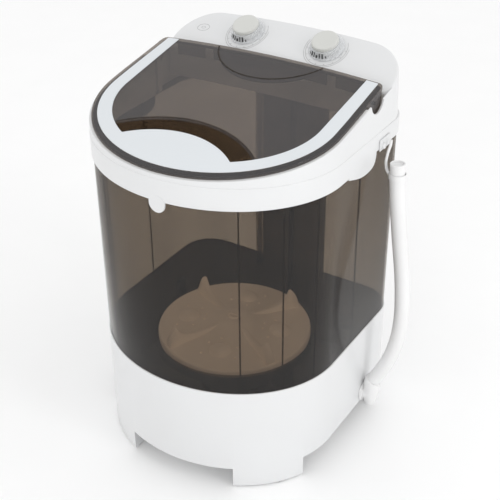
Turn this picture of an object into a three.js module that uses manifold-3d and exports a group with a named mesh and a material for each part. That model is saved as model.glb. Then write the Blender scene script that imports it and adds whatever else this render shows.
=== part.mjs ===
// Compact top-load washing machine, built as separate mouldings, drive parts and controls.
// Millimetres, +Z up, front towards -Y. The origin is at the bottom centre, on the floor.
import * as THREE from "three";
import { mergeVertices } from "three/addons/utils/BufferGeometryUtils.js";
import Module from "manifold-3d";

const wasm = await Module();
wasm.setup();

// ---- driving dimensions -------------------------------------------------------------------
const HALF_WIDTH = 182; // half of the largest plan width, at the flared lip of the top frame
const HALF_DEPTH = 179.6; // half of the largest plan depth
const SIDE_FRONT_Y = -26; // the straight sides end here and the half-ellipse front begins
const CORNER_R = 51; // rear plan corners
const GAP = 0.3; // clearance between touching pieces
const FRONT_STEPS = 22; // facets of the front half-ellipse
const CORNER_STEPS = 5; // facets of one rear corner
const FAR = 800; // a length that passes the whole machine

const BASE_Z = 34; // lower edge of the base wall
const FOOT_Z = 2; // underside of the moulded feet, on rubber pads
const JOINT_Z = 171; // where the tub stands on the base
const FRAME_Z = 454; // lower edge of the top frame
const LIP_Z = 485; // top of the frame's flared lip, where the control panel housing stands
const WALL = 2.5; // usual moulding thickness

const BASE_INSET = 1.3;
const TUB_INSET = 2.4;
const TUB_FOOT_INSET = 4.2;
const FRAME_INSET = 0.8;

// The lid's top surface: a slope up to the rear, slightly crowned from side to side.
const LID_FRONT_Z = 498.2;
const LID_FRONT_Y = -167.4;
const LID_SLOPE = 0.1864;
const LID_CROWN = 2;
const LID_INSET = 4.1;
const LID_REAR_Y = 104.9; // at the middle of the bowed rear edge
const REAR_BOW = 6.5; // how far that edge runs forward again, 160 mm from the middle
const REAR_NARROWING = 2.3; // each side of the lid draws in by this much towards the rear
const LID_SKIRT = 5.5;
const BAND_OUTER_INSET = 12.1;
const BAND_INNER_INSET = 32;
const BAND_REAR_MARGIN = 3.4;
const RECESS_REAR_R = 156.6; // the finger recess lies between two arcs, in plan
const RECESS_FRONT_R = 129;
const RECESS_MID_Y = -228;
const FINGER_FLOOR_Z = 493;
const MOUTH_INSET = 26;
const PIVOT_Y = 68.5; // lid hinge axis
const PIVOT_Z = 529;

// The control panel's top: steeper slope, larger crown. Its front is bowed like the lid's rear.
const PANEL_FRONT_Y = 110.8;
const PANEL_FRONT_Z = 541.2;
const PANEL_SLOPE = 0.48;
const PANEL_CROWN = 9.3;
const PANEL_CORNER_R = 57;
const PANEL_DRAFT = 0.04; // the housing's walls lean in by this much per unit of height
const KNOB_X = 64;
const KNOB_Y = 145.5;

const TUB_TOP_Z = 471;
const FLOOR_EDGE_Z = 166; // tub floor at the walls
const FLOOR_Z = 154; // tub floor at the pulsator recess
const RECESS_Z = 141; // bottom of the pulsator recess
const RECESS_R = 118.5;
const PULSATOR_R = 114.5;
const PULSATOR_Z = 156; // rim of the pulsator's upper face
const SHAFT_R = 7;

const MOTOR_X = -100;
const MOTOR_Y = 62;
const DRIVE_PULLEY_R = 52;
const MOTOR_PULLEY_R = 13;
const BELT_Z = 62; // mid-height of the belt

const HARNESS_Y = 168; // the wiring runs up the rear at this depth

const OUTLET_Y = 82;
const OUTLET_Z = 50;
const HOSE_D = 22;

// ---- materials ----------------------------------------------------------------------------
const finish = (color, roughness, metalness = 0, extra = {}) => () =>
  new THREE.MeshStandardMaterial({ color, roughness, metalness, ...extra });
const whitePlastic = finish(0xeceef0, 0.32);
const smokedPlastic = finish(0x5c5046, 0.15, 0, { transparent: true, opacity: 0.6 });
const taupePlastic = finish(0x9a8a78, 0.45);
const ivoryPlastic = finish(0xe4e1d8, 0.4);
const clearPlastic = finish(0xd8dadc, 0.12);
const blackPlastic = finish(0x202224, 0.5);
const rubber = finish(0x2a2a2a, 0.8);
const steel = finish(0xb8bcc0, 0.35, 1);
const paintedSteel = finish(0x6c7074, 0.5, 0.4);
const hosePlastic = finish(0xe9eae8, 0.45);

// ---- solids -------------------------------------------------------------------------------
function solid(geometry) {
  const bare = geometry.clone();
  for (const name of Object.keys(bare.attributes)) {
    if (name !== "position") bare.deleteAttribute(name);
  }
  const merged = mergeVertices(bare, 1e-4);
  const mesh = new wasm.Mesh({
    numProp: 3,
    vertProperties: merged.attributes.position.array,
    triVerts: new Uint32Array(merged.index.array),
  });
  return new wasm.Manifold(mesh);
}

function geometryOf(manifold) {
  const mesh = manifold.getMesh();
  const geometry = new THREE.BufferGeometry();
  geometry.setAttribute("position", new THREE.BufferAttribute(mesh.vertProperties, 3));
  geometry.setIndex(new THREE.BufferAttribute(mesh.triVerts, 1));
  geometry.computeVertexNormals();
  return geometry;
}

const join = (first, ...rest) => rest.reduce((sum, part) => sum.add(part), first);
const cut = (body, ...tools) => tools.reduce((left, tool) => left.subtract(tool), body);

// A box between two corners.
function block(low, high) {
  const size = high.map((value, i) => value - low[i]);
  const middle = high.map((value, i) => (value + low[i]) / 2);
  return solid(new THREE.BoxGeometry(...size).translate(...middle));
}

// An upright cylinder or cone between two heights.
function post(x, y, z0, z1, r0, r1 = r0, sides = 16) {
  const geometry = new THREE.CylinderGeometry(r1, r0, z1 - z0, sides);
  return solid(geometry.rotateX(Math.PI / 2).translate(x, y, (z0 + z1) / 2));
}

// A cylinder lying along X between two places.
function bar(x0, x1, y, z, radius, sides = 16) {
  const geometry = new THREE.CylinderGeometry(radius, radius, Math.abs(x1 - x0), sides);
  return solid(geometry.rotateZ(Math.PI / 2).translate((x0 + x1) / 2, y, z));
}

function prism(shape, z0, z1, steps = 12) {
  const options = { depth: z1 - z0, bevelEnabled: false, curveSegments: steps };
  return solid(new THREE.ExtrudeGeometry(shape, options).translate(0, 0, z0));
}

// A solid turned about the Z axis: each profile point is [radius, height].
function turned(profile, x, y, sides = 24) {
  const points = profile.map(([radius, z]) => new THREE.Vector2(radius, z));
  return solid(new THREE.LatheGeometry(points, sides).rotateX(Math.PI / 2).translate(x, y, 0));
}

// Plan outline set in from the largest one: half-ellipse front, rounded rear corners.
function plan(inset, cornerR = CORNER_R) {
  const halfWidth = HALF_WIDTH - inset;
  const rear = HALF_DEPTH - inset;
  const corner = cornerR - inset;
  const points = [];
  for (let i = 0; i <= FRONT_STEPS; i++) {
    const angle = Math.PI * (1 + i / FRONT_STEPS);
    const reach = HALF_DEPTH - inset + SIDE_FRONT_Y;
    points.push([halfWidth * Math.cos(angle), SIDE_FRONT_Y + reach * Math.sin(angle)]);
  }
  for (const [side, start] of [[1, 0], [-1, Math.PI / 2]]) {
    for (let i = 0; i <= CORNER_STEPS; i++) {
      const angle = start + (Math.PI / 2) * (i / CORNER_STEPS);
      const x = side * (halfWidth - corner) + corner * Math.cos(angle);
      points.push([x, rear - corner + corner * Math.sin(angle)]);
    }
  }
  return new THREE.Shape(points.map(([x, y]) => new THREE.Vector2(x, y)));
}

const planSolid = (inset, z0, z1) => prism(plan(inset), z0, z1);
const planRing = (outer, inner, z0, z1) =>
  cut(planSolid(outer, z0, z1), planSolid(inner, z0 - 1, z1 + 1));

// The control panel's plan between two heights, leaning in as it rises.
function panelBlock(inset, z0, z1) {
  const options = { depth: z1 - z0, bevelEnabled: false };
  const geometry = new THREE.ExtrudeGeometry(plan(inset, PANEL_CORNER_R), options);
  geometry.translate(0, 0, z0);
  const position = geometry.attributes.position;
  for (let i = 0; i < position.count; i++) {
    const shrink = 1 - (PANEL_DRAFT * (position.getZ(i) - LIP_Z)) / HALF_WIDTH;
    position.setXY(i, position.getX(i) * shrink, position.getY(i) * shrink);
  }
  return solid(geometry);
}

// Depth of an edge that is bowed in plan.
const bowed = (middleY, x) => middleY - REAR_BOW * (x / 160) ** 2;

// Points of one half of a bowed edge, from its rounded corner to the middle. The corner turns
// forward from the edge with way = 1 and backward with way = -1.
function bowedEdge(middleY, halfWidth, corner, way) {
  const cornerX = halfWidth - corner;
  const cornerY = bowed(middleY, cornerX) - way * corner;
  const points = [];
  for (let i = 0; i <= 4; i++) {
    const turn = (Math.PI / 8) * i;
    const x = cornerX + corner * Math.cos(turn);
    points.push([x, cornerY + way * corner * Math.sin(turn)]);
  }
  for (let i = 1; i <= 5; i++) {
    const x = cornerX * (1 - i / 6);
    points.push([x, bowed(middleY, x)]);
  }
  return [...points, [0, middleY]];
}

// A region closed by mirroring one half of its outline.
function mirrored(half) {
  const other = half.slice(0, -1).reverse().map(([x, y]) => [-x, y]);
  const points = [...half, ...other].map(([x, y]) => new THREE.Vector2(x, y));
  return prism(new THREE.Shape(points), 0, FAR);
}

// The lid's plan at an inset, in front of its bowed rear edge.
function lidPlan(inset, rearMargin, corner) {
  const side = HALF_WIDTH - inset;
  const edge = bowedEdge(LID_REAR_Y - rearMargin, side - REAR_NARROWING, corner, 1);
  const region = mirrored([[FAR, -FAR], [FAR, 0], [side, 0], ...edge]);
  return planSolid(inset, 0, FAR).intersect(region);
}

// What lies behind the control panel's bowed front face.
function behindPanelFront(offset) {
  const halfWidth = HALF_WIDTH - FRAME_INSET - 1 - offset;
  const edge = bowedEdge(PANEL_FRONT_Y + offset, halfWidth, 10 - offset, -1);
  return mirrored([[FAR, FAR], [FAR, edge[0][1]], ...edge]);
}

// Everything between two offsets below a sloped, crowned surface.
function slopedSlab(surface, under, over) {
  const half = HALF_WIDTH + 8;
  const steps = 12;
  const top = [];
  const bottom = [];
  for (let i = 0; i <= steps; i++) {
    const x = half * (1 - (2 * i) / steps);
    const drop = surface.crown * (x / HALF_WIDTH) ** 2;
    top.push(new THREE.Vector2(x, over - drop));
    bottom.unshift(new THREE.Vector2(x, under - drop));
  }
  const options = { depth: FAR, bevelEnabled: false };
  const geometry = new THREE.ExtrudeGeometry(new THREE.Shape([...bottom, ...top]), options);
  const y0 = -FAR / 2;
  const z0 = surface.z + surface.slope * (y0 - surface.y);
  // The profile's own axes are (x, height, length): the length runs back and climbs the slope.
  const placing = new THREE.Matrix4().set(
    ...[-1, 0, 0, 0],
    ...[0, 0, 1, y0],
    ...[0, 1, surface.slope, z0],
    ...[0, 0, 0, 1],
  );
  return solid(geometry.applyMatrix4(placing));
}

const LID = { z: LID_FRONT_Z, y: LID_FRONT_Y, slope: LID_SLOPE, crown: LID_CROWN };
const PANEL = { z: PANEL_FRONT_Z, y: PANEL_FRONT_Y, slope: PANEL_SLOPE, crown: PANEL_CROWN };
const heightOf = (surface, x, y) =>
  surface.z + surface.slope * (y - surface.y) - surface.crown * (x / HALF_WIDTH) ** 2;

// A tube or rod swept along a smooth curve through points; the bore is optional.
function sweep(points, radius, steps, sides = 10, bore = 0) {
  const section = new THREE.Shape();
  section.absarc(0, 0, radius, 0, 2 * Math.PI, false);
  if (bore) {
    const hole = new THREE.Path();
    hole.absarc(0, 0, bore, 0, 2 * Math.PI, true);
    section.holes.push(hole);
  }
  const curve = new THREE.CatmullRomCurve3(points.map((point) => new THREE.Vector3(...point)));
  const options = { steps, extrudePath: curve, curveSegments: sides / 2, bevelEnabled: false };
  return solid(new THREE.ExtrudeGeometry(section, options));
}

const machine = new THREE.Group();

// Adds one named piece to the machine, or to a group that places it.
function add(name, body, material, group = machine) {
  const mesh = new THREE.Mesh(geometryOf(body), material());
  mesh.name = name;
  group.add(mesh);
  return mesh;
}

// ---- base ---------------------------------------------------------------------------------
// Inner corner of each foot, which reaches the wall; the left front foot is the longest.
const FRONT_FEET = { left: { x: 72, y: -82 }, right: { x: 95, y: -82 } };
const REAR_FOOT = { x: 105, y: 112 };
const BOSS_X = 173.5;
const BOSS_YS = [-12, 104];
const GLAND = { x: -112, z: 64 };

// The region of one foot, from its inner corner outwards.
function footRegion(side, foot, clearance, z0, z1) {
  const nearX = foot.x + clearance;
  const xs = side > 0 ? [nearX, FAR] : [-FAR, -nearX];
  const ys = foot.y < 0 ? [-FAR, foot.y - clearance] : [foot.y + clearance, FAR];
  return block([xs[0], ys[0], z0], [xs[1], ys[1], z1]);
}

function baseHousing() {
  let body = planRing(BASE_INSET, BASE_INSET + WALL, BASE_Z, JOINT_Z - GAP / 2);
  for (const side of [-1, 1]) {
    for (const foot of [side < 0 ? FRONT_FEET.left : FRONT_FEET.right, REAR_FOOT]) {
      const outside = planSolid(BASE_INSET, FOOT_Z, BASE_Z + 0.5);
      const inside = planSolid(BASE_INSET + WALL, FOOT_Z + WALL, JOINT_Z);
      const outer = outside.intersect(footRegion(side, foot, 0, 0, JOINT_Z));
      const inner = inside.intersect(footRegion(side, foot, WALL, 0, JOINT_Z));
      body = cut(body.add(outer), inner);
    }
    for (const y of BOSS_YS) {
      const boss = post(side * BOSS_X, y, BASE_Z + 5, 118, 6, 6, 12);
      const pilot = post(side * BOSS_X, y, BASE_Z, 80, 1.9, 1.9, 8);
      body = cut(body.add(boss.intersect(planSolid(BASE_INSET + 1, 0, FAR))), pilot);
    }
  }
  const outletHole = bar(150, 200, OUTLET_Y, OUTLET_Z, 13.5, 16);
  const glandHole = new THREE.CylinderGeometry(8.2, 8.2, 40, 16);
  return cut(body, outletHole, solid(glandHole.translate(GLAND.x, HALF_DEPTH, GLAND.z)));
}
add("base_housing", baseHousing(), whitePlastic);

function bottomCover() {
  let body = planSolid(BASE_INSET + WALL + 0.6, BASE_Z + 1.6, BASE_Z + 4.1);
  for (let i = -4; i <= 4; i++) {
    body = cut(body, block([-36, 14 * i - 2.5, 0], [36, 14 * i + 2.5, FAR]));
  }
  for (const side of [-1, 1]) {
    for (const y of BOSS_YS) {
      body = cut(body, post(side * BOSS_X, y, 0, FAR, 2.4, 2.4, 12));
    }
  }
  return body;
}
add("bottom_cover", bottomCover(), whitePlastic);

// A screw standing along Z with its head down, drive slot cut across the head.
function screw(headR, shankR, length) {
  const profile = [
    [0, -2.2],
    [headR * 0.7, -2.2],
    [headR, -1.2],
    [headR, 0],
    [shankR, 0],
    [shankR, length],
    [0, length],
  ];
  const body = turned(profile, 0, 0, 8);
  return cut(body, block([-headR, -0.5, -3], [headR, 0.5, -1.3]));
}

BOSS_YS.forEach((y, row) => {
  for (const [side, word] of [[-1, "left"], [1, "right"]]) {
    const name = `cover_screw_${["front", "rear"][row]}_${word}`;
    const mesh = add(name, screw(4, 1.6, 22), steel);
    mesh.position.set(side * BOSS_X, y, BASE_Z + 1.6 - GAP);
  }
});

const PAD_PLACES = {
  front_left: [-138, -104],
  front_right: [138, -104],
  rear_left: [-144, 146],
  rear_right: [144, 146],
};
for (const [place, [x, y]] of Object.entries(PAD_PLACES)) {
  const profile = [
    [0, 0],
    [10.5, 0],
    [12, 1.2],
    [12, FOOT_Z - GAP],
    [0, FOOT_Z - GAP],
  ];
  add(`foot_pad_${place}`, turned(profile, x, y, 16), rubber);
}

// Grommet for the mains lead, in the rear wall.
function cableGland() {
  const round = (radius, length, y) =>
    solid(new THREE.CylinderGeometry(radius, radius, length, 16).translate(GLAND.x, y, GLAND.z));
  const flange = round(12, 2.6, HALF_DEPTH + GAP);
  const neck = round(7.8, 9, HALF_DEPTH - 4.2);
  return cut(join(flange, neck), round(3.2, 40, HALF_DEPTH));
}
add("cable_gland", cableGland(), rubber);

// ---- wash tub -----------------------------------------------------------------------------
const DUCT_HALF = 56; // half width of the wiring channel in the tub's rear wall
const DUCT_Y = 160; // its inner face
const TUB_WALL = 2.6;
const SUMP = { x: 142, y: 84, r: 8 };

function washTub() {
  const wall = planSolid(TUB_INSET, JOINT_Z + GAP / 2, TUB_TOP_Z);
  const foot = planSolid(TUB_FOOT_INSET, FLOOR_EDGE_Z - 4, JOINT_Z + 1);
  const coneR = 245;
  const outerCone = post(0, 0, FLOOR_Z - 4, FLOOR_EDGE_Z - 3.9, RECESS_R + 4, coneR, 32);
  const pan = outerCone.intersect(planSolid(TUB_FOOT_INSET, 0, FAR));
  const recessWall = post(0, 0, RECESS_Z - 3.5, FLOOR_Z - 3.9, RECESS_R + 4, RECESS_R + 4, 32);
  const innerCone = post(0, 0, FLOOR_Z, FLOOR_EDGE_Z + 0.1, RECESS_R, coneR, 32);
  const space = planSolid(TUB_INSET + TUB_WALL, FLOOR_EDGE_Z, FAR);
  const channel = block([-DUCT_HALF, DUCT_Y, 0], [DUCT_HALF, FAR, FAR]);
  const channelSide = DUCT_HALF + TUB_WALL;
  const channelWall = block(
    [-channelSide, DUCT_Y - TUB_WALL, FLOOR_Z],
    [channelSide, FAR, TUB_TOP_Z],
  );
  const overFloor = innerCone.intersect(planSolid(TUB_FOOT_INSET + TUB_WALL + 0.2, 0, FAR));
  const hollow = cut(space.add(overFloor), channelWall);
  return cut(
    join(wall, foot, pan, recessWall),
    hollow,
    post(0, 0, RECESS_Z, FLOOR_Z + 0.5, RECESS_R, RECESS_R, 32),
    channel,
    post(0, 0, RECESS_Z - 10, RECESS_Z + 10, 17.5, 17.5, 24),
    post(SUMP.x, SUMP.y, RECESS_Z, FAR, SUMP.r, SUMP.r, 16),
  );
}
add("wash_tub", washTub(), smokedPlastic);

// Slotted cover over the drain opening in the tub's floor.
function lintGrate() {
  const z = FLOOR_Z + 6.6;
  let body = post(SUMP.x, SUMP.y, z, z + 2.4, 16, 15, 16);
  for (let i = -2; i <= 2; i++) {
    const y = SUMP.y + 5 * i;
    body = cut(body, block([SUMP.x - 10, y - 1.2, 0], [SUMP.x + 10, y + 1.2, FAR]));
  }
  return body;
}
add("lint_grate", lintGrate(), whitePlastic);

// ---- drain --------------------------------------------------------------------------------
function drainPipe() {
  const top = FLOOR_Z - 1.2;
  const route = [
    [SUMP.x, SUMP.y, top],
    [SUMP.x, SUMP.y, 104],
    [SUMP.x, OUTLET_Y, 72],
    [SUMP.x + 5, OUTLET_Y, 57],
    [SUMP.x + 16, OUTLET_Y, OUTLET_Z],
    [186, OUTLET_Y, OUTLET_Z],
  ];
  return sweep(route, 10, 12, 8, 7.5);
}
add("drain_pipe", drainPipe(), whitePlastic);

const HOSE_ROUTE = [
  [198, 82, 78],
  [205.5, 82, 93],
  [214, 82, 111],
  [221, 82, 130],
  [226.5, 82, 150],
  [230.5, 82, 172],
  [232.5, 82, 195],
  [232.8, 82, 219],
  [231.5, 82, 243],
  [229.5, 82, 267],
  [226.5, 82, 291],
  [223, 82, 315],
  [219.5, 82, 339],
  [216.3, 82, 363],
  [213.3, 82, 387],
  [211, 82, 411],
  [209.6, 82, 430],
  [209, 82, 446],
];

// Outlet elbow: a short stub through the wall's side, a round belly and a spigot up the hose.
function drainElbow() {
  const start = new THREE.Vector3(...HOSE_ROUTE[0]);
  const next = new THREE.Vector3(...HOSE_ROUTE[1]);
  const along = next.clone().sub(start).normalize();
  const belly = new THREE.Vector3(193.5, OUTLET_Y, OUTLET_Z + 2);
  const spigotLength = 22;
  const middle = start.clone().addScaledVector(along, -GAP - spigotLength / 2);
  const upright = new THREE.Vector3(0, 1, 0);
  const lean = new THREE.Quaternion().setFromUnitVectors(upright, along);
  const spigot = new THREE.CylinderGeometry(12.3, 12.3, spigotLength, 16);
  spigot.applyQuaternion(lean).translate(...middle.toArray());
  const ball = solid(new THREE.SphereGeometry(12.5, 14, 8).translate(...belly.toArray()));
  const cup = post(belly.x, belly.y, 30, belly.z, 8, 12.3, 14);
  const flange = bar(181.2, 184.2, OUTLET_Y, OUTLET_Z, 17, 20);
  const stub = bar(183, 194, OUTLET_Y, OUTLET_Z, 11.5, 16);
  const bore = bar(170, 190, OUTLET_Y, OUTLET_Z, 10.4, 16);
  const wallSide = block([-FAR, -FAR, 0], [HALF_WIDTH - BASE_INSET + GAP, FAR, FAR]);
  return cut(join(ball, cup, solid(spigot), flange, stub), bore, wallSide);
}
add("drain_elbow", drainElbow(), whitePlastic);
add("drain_hose", sweep(HOSE_ROUTE, HOSE_D / 2, 20, 16), hosePlastic);

// Strap from the hook on the frame to a collar round the hose's upper end.
const COLLAR_Z = 428;
function hoseStrap() {
  const collarX = 210;
  const collar = cut(
    post(collarX, OUTLET_Y, COLLAR_Z - 4, COLLAR_Z + 4, 13, 13, 16),
    post(collarX, OUTLET_Y, COLLAR_Z - 9, COLLAR_Z + 9, HOSE_D / 2 + 0.9, HOSE_D / 2 + 0.9, 16),
  );
  const route = [
    [collarX - 12.3, OUTLET_Y, COLLAR_Z],
    [193.5, OUTLET_Y + 2, COLLAR_Z + 2],
    [190, OUTLET_Y + 4, COLLAR_Z + 12],
    [189.5, OUTLET_Y + 9, COLLAR_Z + 24],
    [190.5, OUTLET_Y + 14, COLLAR_Z + 34],
    [190.5, OUTLET_Y + 16, COLLAR_Z + 42],
  ];
  return collar.add(sweep(route, 2, 12, 8));
}
add("hose_strap", hoseStrap(), hosePlastic);

// ---- top frame ----------------------------------------------------------------------------
const TRAY_Z = LIP_Z + GAP;
const PANEL_SCREW = { x: 120, y: 150 };
const panelScrewHoles = () =>
  [-1, 1].map((side) => post(side * PANEL_SCREW.x, PANEL_SCREW.y, 0, FAR, 2.2, 2.2, 8));

const NOTCH = { y: 68.5, z: 534.5, r: 18.6 };
const LUG = { inner: 164, outer: 171.5, r: 6 };
const ARM_Y = NOTCH.y + NOTCH.r; // the panel's side arms begin behind the notch
const SEAT_END_Y = 44;
const REAR_EDGE = { y: 71.5, z: 460.5 }; // from here back the lip's lower edge is higher
const SEAT_DROP = LID_SKIRT + GAP; // the lid's seat below the lid's top surface

// Carrying grip: a drop in the lower edge of each side, steep at its rear end.
function sideDrop(side) {
  const outline = new THREE.Shape();
  outline.moveTo(-6, FRAME_Z + 6);
  outline.lineTo(-6, FRAME_Z - 2);
  outline.bezierCurveTo(14, FRAME_Z - 9, 26, FRAME_Z - 14.7, 46, FRAME_Z - 14.7);
  outline.bezierCurveTo(62, FRAME_Z - 14.7, REAR_EDGE.y, FRAME_Z - 12, REAR_EDGE.y, REAR_EDGE.z);
  outline.lineTo(REAR_EDGE.y, REAR_EDGE.z + 6);
  const options = { depth: 2, bevelEnabled: false, curveSegments: 6 };
  const plate = new THREE.ExtrudeGeometry(outline, options);
  plate.rotateX(Math.PI / 2).rotateZ(Math.PI / 2);
  return solid(plate.translate(side > 0 ? HALF_WIDTH - 2 : -HALF_WIDTH, 0, 0));
}

function topFrame() {
  const below = slopedSlab(LID, -FAR, -SEAT_DROP);
  const lip = planRing(0, 2, FRAME_Z, LIP_Z);
  const frontWall = planRing(FRAME_INSET, 3, LIP_Z - 3, FAR).intersect(below);
  const side = cut(frontWall, block([-FAR, ARM_Y - GAP, LIP_Z], [FAR, FAR, FAR]));
  const seat = planRing(FRAME_INSET, MOUTH_INSET, FRAME_Z, FAR)
    .intersect(slopedSlab(LID, -SEAT_DROP - WALL, -SEAT_DROP))
    .subtract(block([-FAR, SEAT_END_Y, 0], [FAR, FAR, FAR]));
  const skirt = planRing(MOUTH_INSET - 2.2, MOUTH_INSET, LIP_Z - 8, FAR)
    .intersect(below)
    .subtract(block([-FAR, SEAT_END_Y, 0], [FAR, FAR, FAR]));
  const rearShelf = planRing(1, 30, LIP_Z - 3, LIP_Z)
    .intersect(block([-FAR, 118, 0], [FAR, FAR, FAR]))
    .subtract(join(post(0, HARNESS_Y, 0, FAR, 7, 7, 16), ...panelScrewHoles()));
  let body = join(lip, side, seat, skirt, rearShelf);
  body = cut(body, block([-FAR, REAR_EDGE.y, 0], [FAR, FAR, REAR_EDGE.z]));
  // Round tab at the front centre that locks over the tub.
  const tab = new THREE.CylinderGeometry(12, 12, 2, 24);
  const tongue = block([-5, -HALF_DEPTH + 0.2, FRAME_Z - 3.5], [19, -HALF_DEPTH + 2.2, FRAME_Z + 0.5]);
  body = body.add(solid(tab.translate(7, -HALF_DEPTH + 1.2, FRAME_Z - 3.5))).add(tongue);
  for (const x of [-1, 1]) {
    body = body.add(sideDrop(x));
    // Open notch round the lid's ear, and the lug that carries its pin.
    const notch = bar(x * 160, x * 200, NOTCH.y, NOTCH.z, NOTCH.r, 28);
    const way = block([-FAR, NOTCH.y - NOTCH.r, NOTCH.z - 5], [FAR, ARM_Y, FAR]);
    body = cut(body, notch, way.intersect(block([-FAR, NOTCH.y, 0], [FAR, FAR, FAR])));
    body = cut(body, block([-FAR, NOTCH.y - NOTCH.r, NOTCH.z], [FAR, ARM_Y, FAR]));
    const lug = bar(x * LUG.inner, x * LUG.outer, PIVOT_Y, PIVOT_Z, LUG.r, 16);
    const xs = [x * LUG.inner, x * LUG.outer].sort((a, b) => a - b);
    const webY = PIVOT_Y - LUG.r - 3;
    const web = block([xs[0], webY, LIP_Z - 12], [xs[1], PIVOT_Y, PIVOT_Z]);
    const rootXs = [x * LUG.inner, x * (HALF_WIDTH - 1)].sort((a, b) => a - b);
    const root = block([rootXs[0], webY, LIP_Z - 12], [rootXs[1], PIVOT_Y, LIP_Z - 8]);
    body = cut(join(body, lug, web, root), bar(x * 150, x * 175, PIVOT_Y, PIVOT_Z, 2.9, 16));
  }
  return body;
}
add("top_frame", topFrame(), whitePlastic);

// Hook on the frame's right side for the hose strap.
function hoseHook() {
  const x0 = HALF_WIDTH + GAP;
  const plate = block([x0, OUTLET_Y - 4, 458], [x0 + 1.8, OUTLET_Y + 26, 474]);
  const peg = bar(x0, x0 + 5.4, OUTLET_Y + 4, 464, 4.2, 14);
  return plate.add(peg);
}
add("hose_hook", hoseHook(), whitePlastic);

// ---- control panel ------------------------------------------------------------------------
const ARM_DROP = 14; // the arms' upper edge below the lid's top surface
function controlPanel() {
  const below = slopedSlab(PANEL, -FAR, 0);
  const inside = slopedSlab(PANEL, -FAR, -WALL);
  const whole = panelBlock(FRAME_INSET, TRAY_Z, 600);
  const arms = cut(whole, planSolid(3.4, 0, FAR))
    .intersect(block([-FAR, ARM_Y, 0], [FAR, PANEL_FRONT_Y + 3, FAR]))
    .intersect(slopedSlab(LID, -FAR, -ARM_DROP));
  const outer = whole.intersect(below).intersect(behindPanelFront(0));
  const space = panelBlock(FRAME_INSET + WALL, TRAY_Z - 5, 600)
    .intersect(inside)
    .intersect(behindPanelFront(WALL));
  let body = cut(outer.add(arms), space);
  for (const side of [-1, 1]) {
    const x = side * PANEL_SCREW.x;
    const boss = post(x, PANEL_SCREW.y, TRAY_Z + 2.5, FAR, 5.5, 5.5, 12).intersect(below);
    const pilot = post(x, PANEL_SCREW.y, 0, LIP_Z + 30, 1.9, 1.9, 8);
    body = cut(body.add(boss), pilot, shaftHole(side));
  }
  return body;
}

const tilt = Math.atan(PANEL_SLOPE);
function shaftHole(side) {
  const hole = new THREE.CylinderGeometry(5, 5, 40, 16).rotateX(Math.PI / 2 + tilt);
  return solid(hole.translate(side * KNOB_X, KNOB_Y, heightOf(PANEL, KNOB_X, KNOB_Y)));
}
add("control_panel", controlPanel(), whitePlastic);

// Tray that closes the panel housing above the tub.
function panelTray() {
  const region = block([-FAR, PANEL_FRONT_Y + WALL + 0.6, 0], [FAR, FAR, FAR]);
  const floor = panelBlock(FRAME_INSET + WALL + 0.6, TRAY_Z, TRAY_Z + 2.2).intersect(region);
  return cut(floor, post(0, HARNESS_Y, 0, FAR, 7, 7, 16), ...panelScrewHoles());
}
add("panel_tray", panelTray(), whitePlastic);

for (const [side, word] of [[-1, "left"], [1, "right"]]) {
  const body = add(`panel_screw_${word}`, screw(4, 1.6, 18), steel);
  body.position.set(side * PANEL_SCREW.x, PANEL_SCREW.y, LIP_Z - 3 - GAP);
}

// ---- controls: timers, shafts and knobs ---------------------------------------------------
const KNOB_RIM_R = 25.5;
const KNOB_CAP_R = 19.5;
const KNOB_H = 17;
for (const [side, word] of [[-1, "wash_timer"], [1, "spin_timer"]]) {
  const group = new THREE.Group();
  group.position.set(side * KNOB_X, KNOB_Y, heightOf(PANEL, KNOB_X, KNOB_Y));
  group.rotation.x = tilt;
  machine.add(group);
  const caseBody = cut(
    join(block([-19, -17, -26], [19, 17, -6.2]), post(0, 0, -6.3, -3.4, 7, 7, 16)),
    post(0, 0, -20, 0, 3.4, 3.4, 16),
  );
  add(`${word}_body`, caseBody, blackPlastic, group);
  const shaft = cut(post(0, 0, -19, 11, 3, 3, 16), block([-4, 2, 2], [4, 4, 12]));
  add(`${word}_shaft`, shaft, steel, group);
  const dialProfile = [
    [7, 0.8],
    [KNOB_RIM_R, 0.8],
    [KNOB_RIM_R, 2.4],
    [KNOB_CAP_R + 0.7, 11.5],
    [KNOB_CAP_R - 1.2, 11.5],
    [KNOB_CAP_R - 1.2, 3],
    [7, 3],
    [7, 0.8],
  ];
  add(`${word}_dial`, turned(dialProfile, 0, 0, 32), clearPlastic, group);
  const capProfile = [
    [0, 3.3],
    [KNOB_CAP_R - 1.6, 3.3],
    [KNOB_CAP_R - 1.6, 11.8],
    [KNOB_CAP_R, 11.8],
    [KNOB_CAP_R - 0.6, KNOB_H - 2],
    [KNOB_CAP_R - 3, KNOB_H],
    [0, KNOB_H],
  ];
  const cap = cut(turned(capProfile, 0, 0, 32), post(0, 0, 0, 11.4, 3.3, 3.3, 12));
  add(`${word}_knob`, cap, ivoryPlastic, group);
}

// ---- lid ----------------------------------------------------------------------------------
const EAR = { r: 20, inner: 172.9, outer: 175.9 };
const HINGE_GAP = 0.25;
const lidSlab = (under, over) => slopedSlab(LID, under, over);

// Between the two arcs that bound the finger recess, grown by a wall on each side.
const recessPlan = (wall) =>
  cut(recessDisc(RECESS_REAR_R + wall), recessDisc(RECESS_FRONT_R - wall))
    .intersect(planSolid(BAND_INNER_INSET - wall, 0, FAR));
const recessDisc = (radius) => post(0, RECESS_MID_Y, 0, FAR, radius, radius, 64);

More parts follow.
